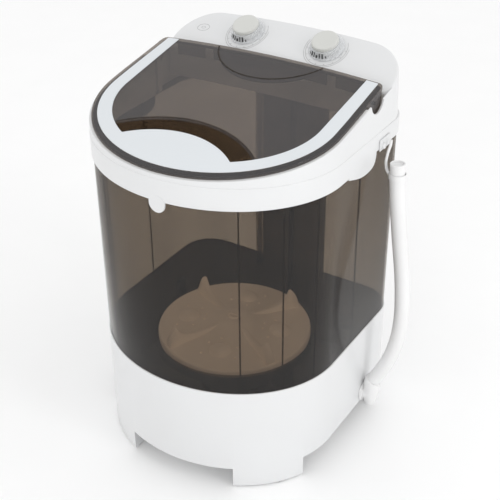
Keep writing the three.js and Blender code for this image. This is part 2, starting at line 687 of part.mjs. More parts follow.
function lidCover() {
  const outside = lidPlan(LID_INSET, 0, 8);
  const plate = outside.intersect(lidSlab(-3.6, -0.5));
  const skirt = cut(outside, lidPlan(LID_INSET + WALL, WALL, 5.5));
  const groove = cut(
    lidPlan(BAND_OUTER_INSET - GAP, BAND_REAR_MARGIN - GAP, 1.8),
    planSolid(BAND_INNER_INSET + GAP, 0, FAR),
  );
  const plateSeat = recessDisc(RECESS_FRONT_R).intersect(planSolid(BAND_INNER_INSET - 1, 0, FAR));
  const pocket = recessPlan(WALL)
    .intersect(block([-FAR, -FAR, FINGER_FLOOR_Z - WALL], [FAR, FAR, FAR]))
    .intersect(lidSlab(-FAR, -0.5));
  const hollow = recessPlan(0).intersect(block([-FAR, -FAR, FINGER_FLOOR_Z], [FAR, FAR, FAR]));
  let body = join(plate, skirt.intersect(lidSlab(-LID_SKIRT, -0.6)), pocket);
  body = cut(body, hollow, join(groove, plateSeat).intersect(lidSlab(-1.9, 10)));
  // Shallow round dish in front of the panel.
  const rearDish = post(0, 135, 0, FAR, 90, 90, 48)
    .intersect(block([-FAR, -FAR, 0], [FAR, LID_REAR_Y - 5, FAR]))
    .intersect(lidSlab(-1.3, 10));
  body = cut(body, rearDish);
  for (const side of [-1, 1]) {
    const xs = [side * EAR.outer, side * EAR.inner];
    const disc = bar(...xs, PIVOT_Y, PIVOT_Z, EAR.r, 32);
    const upper = block(
      [Math.min(...xs), PIVOT_Y - EAR.r, PIVOT_Z],
      [Math.max(...xs), PIVOT_Y + EAR.r, FAR],
    );
    const ear = disc.add(upper).intersect(lidSlab(-FAR, -0.6));
    body = cut(body.add(ear), bar(side * 172, side * 177, PIVOT_Y, PIVOT_Z, 3 - HINGE_GAP, 16));
  }
  return body;
}
add("lid_cover", lidCover(), smokedPlastic);

// White band let into the lid; in front of the finger recess it widens to a flush plate.
function lidTrim() {
  const band = cut(
    lidPlan(BAND_OUTER_INSET, BAND_REAR_MARGIN, 1.5),
    planSolid(BAND_INNER_INSET, 0, FAR),
  );
  const plate = recessDisc(RECESS_FRONT_R).intersect(planSolid(BAND_INNER_INSET - 0.7, 0, FAR));
  return join(band, plate).intersect(lidSlab(-1.6, 0));
}
add("lid_trim", lidTrim(), whitePlastic);

for (const [side, word] of [[-1, "left"], [1, "right"]]) {
  const pin = bar(side * 163, side * EAR.outer, PIVOT_Y, PIVOT_Z, 2.4, 14);
  add(`hinge_pin_${word}`, pin, whitePlastic);
}

// ---- wiring duct --------------------------------------------------------------------------
function ductCover() {
  const face = planSolid(TUB_INSET, JOINT_Z + 1, TUB_TOP_Z - 1);
  const inner = planSolid(TUB_INSET + WALL, 0, FAR);
  const region = block([-DUCT_HALF + GAP, DUCT_Y + 2, 0], [DUCT_HALF - GAP, FAR, FAR]);
  return cut(face, inner).intersect(region);
}
add("rear_duct_cover", ductCover(), whitePlastic);
add(
  "wiring_harness",
  sweep([512, 316, 120].map((z) => [0, HARNESS_Y, z]), 4, 2, 8),
  blackPlastic,
);

// ---- pulsator and its drive ---------------------------------------------------------------
const VANES = 4;
const FIRST_VANE = THREE.MathUtils.degToRad(61);
function pulsatorDisc() {
  const profile = [
    [0, RECESS_Z + 9],
    [PULSATOR_R - 3, RECESS_Z + 9],
    [PULSATOR_R - 3, RECESS_Z + 4],
    [PULSATOR_R, RECESS_Z + 4],
    [PULSATOR_R, PULSATOR_Z - 2],
    [PULSATOR_R - 3, PULSATOR_Z],
    [60, PULSATOR_Z + 4],
    [24, PULSATOR_Z + 14],
    [16, PULSATOR_Z + 16],
    [0, PULSATOR_Z + 16],
  ];
  let body = turned(profile, 0, 0, 32);
  for (let i = 0; i < VANES; i++) {
    const turn = FIRST_VANE + (2 * Math.PI * i) / VANES;
    const between = turn + Math.PI / VANES;
    body = join(body, vaneAt(turn), domeAt(between));
    for (const angle of [between - 0.3, between, between + 0.3]) {
      const hole = post(44 * Math.cos(angle), 44 * Math.sin(angle), 100, 200, 2.2, 2.2, 6);
      body = cut(body, hole);
    }
  }
  return cut(body, post(0, 0, 100, PULSATOR_Z + 9, SHAFT_R + 0.3, SHAFT_R + 0.3, 20), screwSeat());
}

// Radial vane: low near the hub, rising to a peak near the rim.
function vaneAt(turn) {
  const side = new THREE.Shape();
  side.moveTo(14, 0);
  side.lineTo(PULSATOR_R - 4, 0);
  side.lineTo(PULSATOR_R - 5, 12);
  side.quadraticCurveTo(PULSATOR_R - 9, 32, PULSATOR_R - 16, 34);
  side.quadraticCurveTo(PULSATOR_R - 30, 12, 62, 14);
  side.lineTo(14, 17);
  const vane = new THREE.ExtrudeGeometry(side, { depth: 12, bevelEnabled: false, curveSegments: 4 });
  vane.translate(0, 0, -6).rotateX(Math.PI / 2).rotateZ(turn);
  return solid(vane.translate(0, 0, PULSATOR_Z - 4));
}

function domeAt(angle) {
  const dome = new THREE.SphereGeometry(15, 12, 8).scale(1, 1, 0.6);
  return solid(dome.translate(70 * Math.cos(angle), 70 * Math.sin(angle), PULSATOR_Z + 2));
}

function screwSeat() {
  return post(0, 0, PULSATOR_Z + 12, PULSATOR_Z + 30, 9.5, 9.5, 20);
}
add("pulsator", pulsatorDisc(), taupePlastic);

const screwProfile = [
  [0, PULSATOR_Z + 12.4],
  [9, PULSATOR_Z + 12.4],
  [9, PULSATOR_Z + 15.5],
  [7, PULSATOR_Z + 18],
  [0, PULSATOR_Z + 18],
];
const pulsatorScrew = cut(
  turned(screwProfile, 0, 0, 20),
  block([-6, -0.8, PULSATOR_Z + 16.5], [6, 0.8, PULSATOR_Z + 30]),
);
add("pulsator_screw", pulsatorScrew, steel);

const PULLEY_LOW = BELT_Z - 8;
const PULLEY_HIGH = BELT_Z + 8;
add("drive_shaft", post(0, 0, PULLEY_LOW - 6, PULSATOR_Z + 8.6, SHAFT_R, SHAFT_R, 20), steel);

// A V-belt pulley bored for its shaft.
function pulley(x, y, radius, bore) {
  const profile = [
    [bore, PULLEY_LOW],
    [radius + 3, PULLEY_LOW],
    [radius + 3, PULLEY_LOW + 3],
    [radius - 3, BELT_Z - 2],
    [radius - 3, BELT_Z + 2],
    [radius + 3, PULLEY_HIGH - 3],
    [radius + 3, PULLEY_HIGH],
    [bore, PULLEY_HIGH],
    [bore, PULLEY_LOW],
  ];
  return turned(profile, x, y, 24);
}

function drivePulley() {
  let body = pulley(0, 0, DRIVE_PULLEY_R, SHAFT_R + GAP);
  for (let i = 0; i < 5; i++) {
    const angle = (2 * Math.PI * i) / 5;
    body = cut(body, post(29 * Math.cos(angle), 29 * Math.sin(angle), 0, FAR, 9, 9, 8));
  }
  return body;
}
add("drive_pulley", drivePulley(), paintedSteel);
add("motor_pulley", pulley(MOTOR_X, MOTOR_Y, MOTOR_PULLEY_R, 5 + GAP), steel);

// Bearing housing bolted under the tub, its two bearings and the water seal.
const HOUSING_TOP = RECESS_Z - 3.5 - GAP;
function bearingHousing() {
  const profile = [
    [0, 84],
    [20, 84],
    [20, HOUSING_TOP - 8],
    [44, HOUSING_TOP - 4],
    [44, HOUSING_TOP],
    [0, HOUSING_TOP],
  ];
  return cut(
    turned(profile, 0, 0, 28),
    post(0, 0, 0, FAR, SHAFT_R + 2, SHAFT_R + 2, 20),
    post(0, 0, 0, 95, 15, 15, 24),
    post(0, 0, HOUSING_TOP - 18, FAR, 15, 15, 24),
  );
}
add("bearing_housing", bearingHousing(), whitePlastic);

function ring(inner, outer, z0, z1) {
  const profile = [
    [inner, z0],
    [outer, z0],
    [outer, z1],
    [inner, z1],
    [inner, z0],
  ];
  return turned(profile, 0, 0, 18);
}
add("lower_bearing", ring(SHAFT_R + GAP, 14.6, 86, 94.6), steel);
add("upper_bearing", ring(SHAFT_R + GAP, 14.6, HOUSING_TOP - 17.6, HOUSING_TOP - 8), steel);
add("shaft_seal", ring(SHAFT_R + GAP, 14.6, HOUSING_TOP - 7.6, RECESS_Z + 2), rubber);

// Belt: a closed loop round both pulleys, a little clear of their grooves.
function beltLoop() {
  const reach = new THREE.Vector2(MOTOR_X, MOTOR_Y);
  const distance = reach.length();
  const heading = Math.atan2(MOTOR_Y, MOTOR_X);
  const outline = (extra) => {
    const bigR = DRIVE_PULLEY_R + extra;
    const smallR = MOTOR_PULLEY_R + extra;
    const lean = Math.acos((bigR - smallR) / distance);
    const shape = new THREE.Shape();
    shape.absarc(distance, 0, smallR, -lean, lean, false);
    shape.absarc(0, 0, bigR, lean, 2 * Math.PI - lean, false);
    return shape;
  };
  const loop = cut(prism(outline(4.4), BELT_Z - 4, BELT_Z + 4), prism(outline(0.2), 0, FAR));
  return loop.rotate([0, 0, THREE.MathUtils.radToDeg(heading)]);
}

function pulleyClearance(x, y, radius) {
  return pulley(x, y, radius + 0.6, SHAFT_R + 2);
}
add(
  "drive_belt",
  cut(
    beltLoop(),
    pulleyClearance(0, 0, DRIVE_PULLEY_R),
    pulleyClearance(MOTOR_X, MOTOR_Y, MOTOR_PULLEY_R),
  ),
  rubber,
);

// Motor hung from a bracket, with its rotor shaft and cooling fan.
const MOTOR_LOW = 80;
const MOTOR_HIGH = 126;
function motorBody() {
  const profile = [
    [0, MOTOR_LOW],
    [30, MOTOR_LOW],
    [38, MOTOR_LOW + 8],
    [38, MOTOR_HIGH - 8],
    [30, MOTOR_HIGH],
    [0, MOTOR_HIGH],
  ];
  return cut(turned(profile, MOTOR_X, MOTOR_Y, 24), post(MOTOR_X, MOTOR_Y, 0, FAR, 6.5, 6.5, 20));
}
add("motor_body", motorBody(), paintedSteel);
add("motor_shaft", post(MOTOR_X, MOTOR_Y, PULLEY_LOW - 4, MOTOR_HIGH + 5, 5, 5, 16), steel);

function motorBracket() {
  const plateLow = MOTOR_LOW - 3 - GAP;
  const plate = block(
    [MOTOR_X - 46, MOTOR_Y - 34, plateLow],
    [MOTOR_X + 46, MOTOR_Y + 34, MOTOR_LOW - GAP],
  );
  let body = cut(plate, post(MOTOR_X, MOTOR_Y, 0, FAR, 13, 13, 20));
  for (const [offset, top] of [[-43, FLOOR_Z - 2], [43, HOUSING_TOP]]) {
    const x = MOTOR_X + offset;
    body = body.add(block([x - 3, MOTOR_Y - 8, plateLow], [x + 3, MOTOR_Y + 8, top]));
  }
  return body;
}
add("motor_bracket", motorBracket(), paintedSteel);

// ---- capacitor ----------------------------------------------------------------------------
const CAPACITOR = { x: 96, y: -20, r: 16 };
add("run_capacitor", post(CAPACITOR.x, CAPACITOR.y, 76, 122, CAPACITOR.r), blackPlastic);

// Spring band round the capacitor, open at the front.
function capacitorClip() {
  const band = ring(CAPACITOR.r + GAP, CAPACITOR.r + GAP + 2, 90, 100);
  return cut(band, block([-2, -40, 0], [2, 0, FAR])).translate([CAPACITOR.x, CAPACITOR.y, 0]);
}
add("capacitor_clip", capacitorClip(), steel);

export default machine;
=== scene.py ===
"""Looks of a compact top-load washing machine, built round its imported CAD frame.

Lengths below are in millimetres in the CAD frame (+Z up, front towards -Y) and turn into
metres where a mesh is made.
"""
import math

import bmesh
import bpy
import numpy as np
from mathutils import Matrix, Vector


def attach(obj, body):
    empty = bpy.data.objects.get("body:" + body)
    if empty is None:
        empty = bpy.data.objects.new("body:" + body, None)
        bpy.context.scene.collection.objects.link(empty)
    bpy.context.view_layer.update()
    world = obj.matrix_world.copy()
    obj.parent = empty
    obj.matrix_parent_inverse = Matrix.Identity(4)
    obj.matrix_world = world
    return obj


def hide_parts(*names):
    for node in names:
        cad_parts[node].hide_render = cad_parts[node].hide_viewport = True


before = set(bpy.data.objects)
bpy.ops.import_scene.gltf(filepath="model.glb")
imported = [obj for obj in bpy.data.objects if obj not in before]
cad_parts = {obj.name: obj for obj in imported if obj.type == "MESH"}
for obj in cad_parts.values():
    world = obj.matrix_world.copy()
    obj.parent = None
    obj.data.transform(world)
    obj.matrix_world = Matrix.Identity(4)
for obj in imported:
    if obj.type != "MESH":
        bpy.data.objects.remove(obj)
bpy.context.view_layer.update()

MM = 0.001

# ---- driving dimensions, as in the CAD
HALF_WIDTH, HALF_DEPTH = 182.0, 179.6
SIDE_FRONT_Y = -26.0  # the plan's front half-ellipse ends here
CORNER_R = 51.0
BASE_Z, FOOT_Z, JOINT_Z = 34.0, 2.0, 171.0
FRAME_Z, LIP_Z, TUB_TOP_Z = 454.0, 485.0, 471.0
BASE_INSET, TUB_INSET, FRAME_INSET = 1.3, 2.4, 0.8
TUB_FOOT_INSET, TUB_WALL, WALL = 4.2, 2.6, 2.5
FEET = [(-1, 72, -82), (1, 95, -82), (-1, 105, 112), (1, 105, 112)]  # side and inner corner
LID_INSET, LID_REAR_Y, LID_SKIRT, LID_CORNER = 4.1, 104.9, 5.5, 8.0
SEAT_DROP = LID_SKIRT + 0.3
REAR_BOW, REAR_NARROWING = 6.5, 2.3
BAND_OUTER, BAND_INNER, BAND_REAR_MARGIN = 12.1, 32.0, 3.4
BAND_DEPTH, GROOVE_DEPTH = 1.6, 1.9
RECESS_REAR_R, RECESS_FRONT_R, RECESS_MID_Y, FINGER_FLOOR_Z = 156.6, 129.0, -228.0, 493.0
POCKET_R, POCKET_Y = 90.0, 135.0  # the beaded arc near the lid's rear edge
MOUTH_INSET, SEAT_END_Y = 26.0, 44.0
PIVOT_Y, PIVOT_Z = 68.5, 529.0
NOTCH_Y, NOTCH_Z, NOTCH_R = 68.5, 534.5, 18.6
ARM_Y = NOTCH_Y + NOTCH_R
EAR_R, EAR_INNER, EAR_OUTER = 20.0, 172.9, 175.9  # the lid's hinge ears
LUG_INNER, LUG_OUTER = 164.0, 171.5  # the frame's lugs for the hinge pins
REAR_EDGE_Y, REAR_EDGE_Z = 71.5, 460.5  # from here back the lip's lower edge is higher
PANEL_FRONT_Y, PANEL_CORNER_R, PANEL_DRAFT = 110.8, 57.0, 0.04
KNOB_X, KNOB_Y = 64.0, 145.5
PANEL_SLOPE, PANEL_FOOT_Z = 0.48, 485.3
PANEL_TILT = math.atan(PANEL_SLOPE)
RECESS_R, RECESS_Z, FLOOR_Z = 118.5, 141.0, 154.0
FLOOR_RISE = 0.0957
PULSATOR_R, PULSATOR_Z = 114.5, 156.0
VANES, FIRST_VANE = 4, math.radians(61)
DOME_AT, HOLE_R = 70.0, 1.7
DUCT_HALF, DUCT_Y = 56.0, 160.0  # wiring channel in the tub's rear wall
DRAIN_X, DRAIN_Y, DRAIN_R = 142.0, 84.0, 8.0
OUTLET_Y, OUTLET_Z = 82.0, 50.0
HOSE_R, HOSE_BORE = 11.0, 8.6
HOOK_X, HOOK_TOP_X = 182.3, 184.1
CORD_HOLE_Y, CORD_HOLE_R = 168.0, 7.0
FAR = 700.0  # beyond the machine on every side
HOSE_ROUTE = [
    (198, 82, 78), (205.5, 82, 93), (214, 82, 111), (221, 82, 130), (226.5, 82, 150),
    (230.5, 82, 172), (232.5, 82, 195), (232.8, 82, 219), (231.5, 82, 243),
    (229.5, 82, 267), (226.5, 82, 291), (223, 82, 315), (219.5, 82, 339),
    (216.3, 82, 363), (213.3, 82, 387), (211, 82, 411), (209.6, 82, 430), (209, 82, 446),
]


def lid_z(x, y):
    """Height of the lid's top surface."""
    return 498.2 + 0.1864 * (y + 167.4) - 2.0 * (x / HALF_WIDTH) ** 2


def panel_z(x, y):
    """Height of the control panel's top surface."""
    return 541.2 + PANEL_SLOPE * (y - PANEL_FRONT_Y) - 9.3 * (x / HALF_WIDTH) ** 2


def bowed(middle_y, x):
    """Depth of an edge that is bowed in plan."""
    return middle_y - REAR_BOW * (x / 160) ** 2


# ---- materials
class Nodes:
    """A small helper that makes and links shader nodes."""

    def __init__(self, name):
        self.material = bpy.data.materials.new(name)
        self.material.use_nodes = True
        self.tree = self.material.node_tree
        self.shader = self.tree.nodes["Principled BSDF"]
        self.output = self.tree.nodes["Material Output"]

    def add(self, kind, **sockets):
        node = self.tree.nodes.new(kind)
        for key, value in sockets.items():
            node.inputs[key.replace("_", " ")].default_value = value
        return node

    def link(self, source, target):
        self.tree.links.new(source, target)

    def noise(self, scale, detail=3.0, stretch=(1, 1, 1)):
        """Noise from 0 to 1 in the piece's own coordinates."""
        place = self.add("ShaderNodeTexCoord")
        mapping = self.add("ShaderNodeMapping", Scale=stretch)
        noise = self.add("ShaderNodeTexNoise", Scale=scale, Detail=detail)
        self.link(place.outputs["Object"], mapping.inputs["Vector"])
        self.link(mapping.outputs["Vector"], noise.inputs["Vector"])
        return noise.outputs["Fac"]

    def ramp(self, factor, low, high, start=0.3, end=0.7):
        """A colour that drifts from low to high as the factor goes from start to end."""
        ramp = self.add("ShaderNodeValToRGB")
        for stop, place, colour in zip(ramp.color_ramp.elements, (start, end), (low, high)):
            stop.position = place
            stop.color = (*colour, 1)
        self.link(factor, ramp.inputs["Fac"])
        return ramp.outputs["Color"]

    def span(self, factor, low, high):
        """A factor from 0 to 1, mapped to run from low to high."""
        out = self.add("ShaderNodeMapRange", To_Min=low, To_Max=high)
        self.link(factor, out.inputs["Value"])
        return out.outputs["Result"]

    def grazing(self):
        """0 where a surface is met head-on, 1 along it, alike on both of its faces."""
        facing = self.add("ShaderNodeLayerWeight", Blend=0.5)
        power = self.tree.nodes.new("ShaderNodeMath")
        power.operation = "POWER"
        power.inputs[1].default_value = 4.0
        self.link(facing.outputs["Facing"], power.inputs[0])
        return power.outputs[0]

    def bump(self, height, strength, distance):
        """A fine relief, with its depth in metres."""
        node = self.add("ShaderNodeBump", Strength=strength, Distance=distance)
        self.link(height, node.inputs["Height"])
        self.link(node.outputs["Normal"], self.shader.inputs["Normal"])

    def see_through(self, tint, clearest, haziest):
        """Mixes tinted clear plastic with the shader, which takes over where it is grazed."""
        clear = self.add("ShaderNodeBsdfTransparent")
        self.link(tint, clear.inputs["Color"])
        mix = self.add("ShaderNodeMixShader")
        self.link(self.span(self.grazing(), clearest, haziest), mix.inputs["Fac"])
        self.link(clear.outputs["BSDF"], mix.inputs[1])
        self.link(self.shader.outputs["BSDF"], mix.inputs[2])
        self.link(mix.outputs["Shader"], self.output.inputs["Surface"])


def surface(name, low, high, rough, grain, relief, metallic=0.0, coat=0.0):
    """A solid finish: colour drifting between two tones, uneven gloss and a fine relief."""
    n = Nodes(name)
    n.link(n.ramp(n.noise(9, 4), low, high), n.shader.inputs["Base Color"])
    fine = n.noise(grain)
    n.link(n.span(fine, *rough), n.shader.inputs["Roughness"])
    n.bump(fine, relief, 0.0004)
    n.shader.inputs["Metallic"].default_value = metallic
    n.shader.inputs["Coat Weight"].default_value = coat
    n.shader.inputs["Coat Roughness"].default_value = 0.08
    return n.material


def smoked(name, tint, body, gloss):
    """See-through brown moulding: tinted light passes, a faint haze and shine stay outside."""
    n = Nodes(name)
    darker = tuple(0.93 * value for value in tint)
    streak = n.noise(14, 3, (1, 1, 0.12))
    n.shader.inputs["Base Color"].default_value = (*body, 1)
    n.shader.inputs["IOR"].default_value = 1.5
    n.link(n.span(n.noise(160, 2), 0.06, 0.12), n.shader.inputs["Roughness"])
    n.bump(n.noise(9, 1, (1, 1, 0.15)), 0.05, 0.0008)
    n.see_through(n.ramp(streak, darker, tint, 0.35, 0.65), *gloss)
    return n.material


def grey(value, warm=0.0):
    """A grey, a little warmer or cooler than neutral."""
    return (value * (1 + warm), value, value * (1 - warm))


def clear_plastic():
    """Nearly colourless see-through plastic with a bright surface."""
    n = Nodes("clear_moulding")
    n.shader.inputs["Base Color"].default_value = (0.86, 0.87, 0.88, 1)
    n.link(n.span(n.noise(300), 0.04, 0.1), n.shader.inputs["Roughness"])
    n.see_through(n.ramp(n.noise(60), (0.93, 0.94, 0.95), grey(0.98)), 0.4, 0.9)
    return n.material


WHITE = surface("white_moulding", grey(0.69, -0.006), grey(0.705, -0.01), (0.26, 0.33), 420, 0.012,
                coat=0.15)
BAND = surface("white_band", (0.665, 0.695, 0.72), (0.68, 0.71, 0.735), (0.32, 0.4), 500, 0.012)
HOSE = surface("soft_tubing", grey(0.75, 0.002), grey(0.785, 0.0), (0.38, 0.5), 260, 0.05)
PULSATOR = surface("tub_insert", (0.86, 0.80, 0.73), (0.9, 0.84, 0.77), (0.35, 0.5), 300, 0.05)
IVORY = surface("ivory_cap", (0.57, 0.575, 0.55), (0.6, 0.605, 0.58), (0.35, 0.45), 380, 0.04)
# painted light: the insert glows by itself, standing in for light that reaches it through the smoked
# tub
painted_glow = PULSATOR.node_tree.nodes["Principled BSDF"]
painted_glow.inputs["Emission Color"].default_value = (1.0, 0.8, 0.62, 1)
painted_glow.inputs["Emission Strength"].default_value = 0.13
BLACK = surface("black_moulding", grey(0.018), grey(0.03), (0.4, 0.55), 300, 0.15)
RUBBER = surface("rubber", grey(0.014), grey(0.026), (0.7, 0.85), 240, 0.3)
STEEL = surface("turned_steel", grey(0.5), grey(0.62), (0.22, 0.4), 500, 0.15, metallic=1.0)
PAINTED = surface("painted_steel", grey(0.05), grey(0.075), (0.35, 0.5), 260, 0.2, coat=0.3)
PRINT = surface("grey_print", grey(0.22), grey(0.3), (0.5, 0.6), 300, 0.05)
TICK = surface("black_print", grey(0.02), grey(0.035), (0.45, 0.55), 300, 0.05)
SMOKE = smoked("smoked_tub", (0.745, 0.695, 0.635), (0.075, 0.075, 0.078), (0.2, 0.92))
LID_SMOKE = smoked("smoked_lid", (0.70, 0.65, 0.60), (0.15, 0.147, 0.155), (0.3, 0.92))
DEEP_SMOKE = smoked("deep_smoke", (0.5, 0.43, 0.36), (0.045, 0.034, 0.025), (0.3, 0.92))
CLEAR = clear_plastic()


# ---- meshes
def mesh_from(points, faces):
    """A mesh from points in millimetres, with doubled points merged and faces turned outwards."""
    bm = bmesh.new()
    verts = [bm.verts.new(Vector(p) * MM) for p in points]
    for face in faces:
        bm.faces.new([verts[i] for i in face])
    bmesh.ops.remove_doubles(bm, verts=bm.verts, dist=1e-6)
    bmesh.ops.recalc_face_normals(bm, faces=bm.faces)
    mesh = bpy.data.meshes.new("mesh")
    bm.to_mesh(mesh)
    bm.free()
    return mesh


def loft(rings, loop=False, cap=None):
    """Quads between rings of equal length; closed by end faces, or on themselves with loop."""
    count = len(rings[0])
    points = [p for ring in rings for p in ring]
    faces = []
    for k in range(len(rings) if loop else len(rings) - 1):
        a, b = k * count, ((k + 1) % len(rings)) * count
        for i in range(count):
            j = (i + 1) % count
            faces.append((a + i, a + j, b + j, b + i))
    if not loop:
        faces.append(tuple(reversed(range(count))))
        start = (len(rings) - 1) * count
        top = cap(rings[-1]) if cap else [range(count)]
        faces += [tuple(start + i for i in face) for face in top]
    return mesh_from(points, faces)


def add_mesh(meshes):
    """Several meshes as one."""
    bm = bmesh.new()
    for mesh in meshes:
        bm.from_mesh(mesh)
    merged = bpy.data.meshes.new("merged")
    bm.to_mesh(merged)
    bm.free()
    return merged


def tool(mesh):
    """A bare object that a boolean can use."""
    made = bpy.data.objects.new("tool", mesh)
    bpy.context.scene.collection.objects.link(made)
    return made


def combine(mesh, other, operation):
    """The mesh joined with, cut by or kept within another one."""
    a, b = tool(mesh), tool(other)
    modifier = a.modifiers.new("combine", "BOOLEAN")
    modifier.solver = "MANIFOLD"
    modifier.operation = operation
    modifier.object = b
    bpy.context.view_layer.update()
    result = bpy.data.meshes.new_from_object(
        a.evaluated_get(bpy.context.evaluated_depsgraph_get())
    )
    for spent in (a, b):
        bpy.data.objects.remove(spent)
    return result


def join(mesh, *others):
    """The union of all the meshes."""
    for other in others:
        mesh = combine(mesh, other, "UNION")
    return mesh


def cut(mesh, *others):
    """The first mesh less the others."""
    for other in others:
        mesh = combine(mesh, other, "DIFFERENCE")
    return mesh


def within(mesh, other):
    """What the two meshes share."""
    return combine(mesh, other, "INTERSECT")


def block(low, high):
    """A box between two corners."""
    x, y, z = zip(low, high)
    ring = [(x[0], y[0]), (x[1], y[0]), (x[1], y[1]), (x[0], y[1])]
    return loft([[(a, b, height) for a, b in ring] for height in z])


def turns_round(count):
    """Equal steps of a full turn."""
    return [2 * math.pi * i / count for i in range(count)]


def circle(x, y, radius, count):
    """Points round a centre, in any plane's two coordinates."""
    return [(x + radius * math.cos(t), y + radius * math.sin(t)) for t in turns_round(count)]


def post(x, y, z0, z1, radius, count=48):
    """A cylinder along Z."""
    plan = circle(x, y, radius, count)
    return loft([[(a, b, z) for a, b in plan] for z in (z0, z1)])


def revolve(profile, count=96, x=0.0, y=0.0):
    """Turned about Z; the profile is [(radius, z), ...] from axis to axis or a closed loop."""
    if profile[0] == profile[-1]:
        rings = [[(a, b, z) for a, b in circle(x, y, r, count)] for r, z in profile[:-1]]
        return loft(rings, loop=True)
    rings = [[(a, b, z) for a, b in circle(x, y, max(r, 1e-4), count)] for r, z in profile]
    return loft(rings)


def bar(x0, x1, y, z, radius, count=48):
    """A cylinder along X."""
    ring = circle(y, z, radius, count)
    return loft([[(x, a, b) for a, b in ring] for x in (x0, x1)])


def side_block(side, xs, ys, zs):
    """A box on one side of the machine, between two distances from its middle."""
    left, right = sorted(side * x for x in xs)
    return block((left, ys[0], zs[0]), (right, ys[1], zs[1]))


def arc(a, b, radius, start, end, steps=4):
    """Points of an arc about (a, b), in degrees: a corner of a plan, or a section's round edge."""
    turns = [math.radians(start + (end - start) * i / steps) for i in range(steps + 1)]
    return [(a + radius * math.cos(t), b + radius * math.sin(t)) for t in turns]


def outline(inset, rear=HALF_DEPTH, corner=CORNER_R):
    """Plan outline, set in from the largest one, counter-clockwise from the left side."""
    front, side, bend, back = 88, 14, 14, 14  # steps along each stretch
    half = HALF_WIDTH - inset
    reach = HALF_DEPTH + SIDE_FRONT_Y - inset
    start = rear - corner
    small = max(corner - inset, 0.4)
    rear, places = rear - inset, []
    for i in range(front + 1):
        turn = math.pi * (1 + i / front)
        places.append((half * math.cos(turn), SIDE_FRONT_Y + reach * math.sin(turn)))
    straight = [SIDE_FRONT_Y + (min(start, rear - small) - SIDE_FRONT_Y) * i / side
                for i in range(1, side)]
    places += [(half, y) for y in straight]
    for sign, first in ((1, 0), (-1, 90)):
        places += arc(sign * (half - small), rear - small, small, first, first + 90, bend)
        if sign > 0:
            span = half - small
            places += [(span - 2 * span * i / back, rear) for i in range(1, back)]
    return places + [(-half, y) for y in reversed(straight)]


def height_at(z, x, y):
    """A height, or a surface's height at a place."""
    return z(x, y) if callable(z) else z


def raised(plan, z):
    """A plan ring lifted to a height, or to a surface."""
    return [(x, y, height_at(z, x, y)) for x, y in plan]


def shell(profile, base=0.0):
    """A closed wall round the plan: the section is [(inset, height over base), ...]."""
    return loft([raised(outline(inset), lambda x, y, d=dz: height_at(base, x, y) + d)
                 for inset, dz in profile], loop=True)


def slab(inset, low, high):
    """The plan outline filled between two heights or surfaces."""
    insets = [i for i in (inset, 20, 36, 52, 68, 84, 100, 116, 130) if i >= inset]
    rings = [raised(outline(i), low) for i in reversed(insets)]
    return loft(rings + [raised(outline(i), high) for i in insets])


SMOOTH_BELOW = math.radians(32)


def ease_edges(made, width, above):
    """Rounds the edges that are sharper than an angle."""
    rounding = made.modifiers.new("edges", "BEVEL")
    rounding.width = width * MM
    rounding.segments = 2
    rounding.limit_method = "ANGLE"
    rounding.angle_limit = math.radians(above)


def piece(name, mesh, material, body="cabinet", nodes=(), bevel=0.0):
    """Shows a mesh as one named piece that rides on a body and stands for CAD nodes."""
    made = bpy.data.objects.new(name, mesh)
    mesh.name = name
    mesh.materials.clear()
    mesh.materials.append(material)
    bpy.context.scene.collection.objects.link(made)
    bm = bmesh.new()
    bm.from_mesh(mesh)
    bmesh.ops.dissolve_degenerate(bm, edges=bm.edges, dist=1e-6)
    for edge in bm.edges:
        edge.smooth = len(edge.link_faces) == 2 and edge.calc_face_angle(0.0) < SMOOTH_BELOW
    for face in bm.faces:
        face.smooth = True
    bm.to_mesh(mesh)
    bm.free()
    if bevel:
        ease_edges(made, bevel, 35)
    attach(made, body)
    if nodes:
        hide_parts(*nodes)
    return made


def transformed(mesh, matrix):
    """The mesh itself, moved by a matrix in metres."""
    mesh.transform(matrix)
    return mesh


def heading(path, i):
    """The direction of a path at one of its points."""
    return (path[min(i + 1, len(path) - 1)] - path[max(i - 1, 0)]).normalized()


def tube_points(route, radii):
    """Rings round a smooth path that keep one side level; one radius, or one for each point."""
    path = [Vector(p) for p in route]
    rings = []
    for i, p in enumerate(path):
        ahead = heading(path, i)
        side = ahead.cross(Vector((0, 1, 0)))
        if side.length < 1e-3:
            side = Vector((1, 0, 0))
        side.normalize()
        other = ahead.cross(side)
        r = radii[i] if isinstance(radii, list) else radii
        rings.append([tuple(p + side * a + other * b) for a, b in circle(0, 0, r, 32)])
    return rings


def smooth_path(points, step=3.0):
    """The points joined by a smooth curve through all of them, in steps of about equal length."""
    p = [np.array(q, float) for q in points]
    p = [2 * p[0] - p[1], *p, 2 * p[-1] - p[-2]]
    out = []
    for a, b, c, d in zip(p, p[1:], p[2:], p[3:]):
        pieces = max(2, int(np.linalg.norm(c - b) / step))
        for i in range(pieces):
            t = i / pieces
            out.append(0.5 * (2 * b + (c - a) * t + (2 * a - 5 * b + 4 * c - d) * t * t
                              + (3 * b - 3 * c + d - a) * t ** 3))
    out.append(p[-2])
    return [tuple(q) for q in out]


# ---- camera and light
TARGET = Vector((-0.7, 46.5, 262.6)) * MM
AZIMUTH, ELEVATION, ROLL = math.radians(32.2), math.radians(31.7), math.radians(-0.43)
DISTANCE = 1.5006  # metres

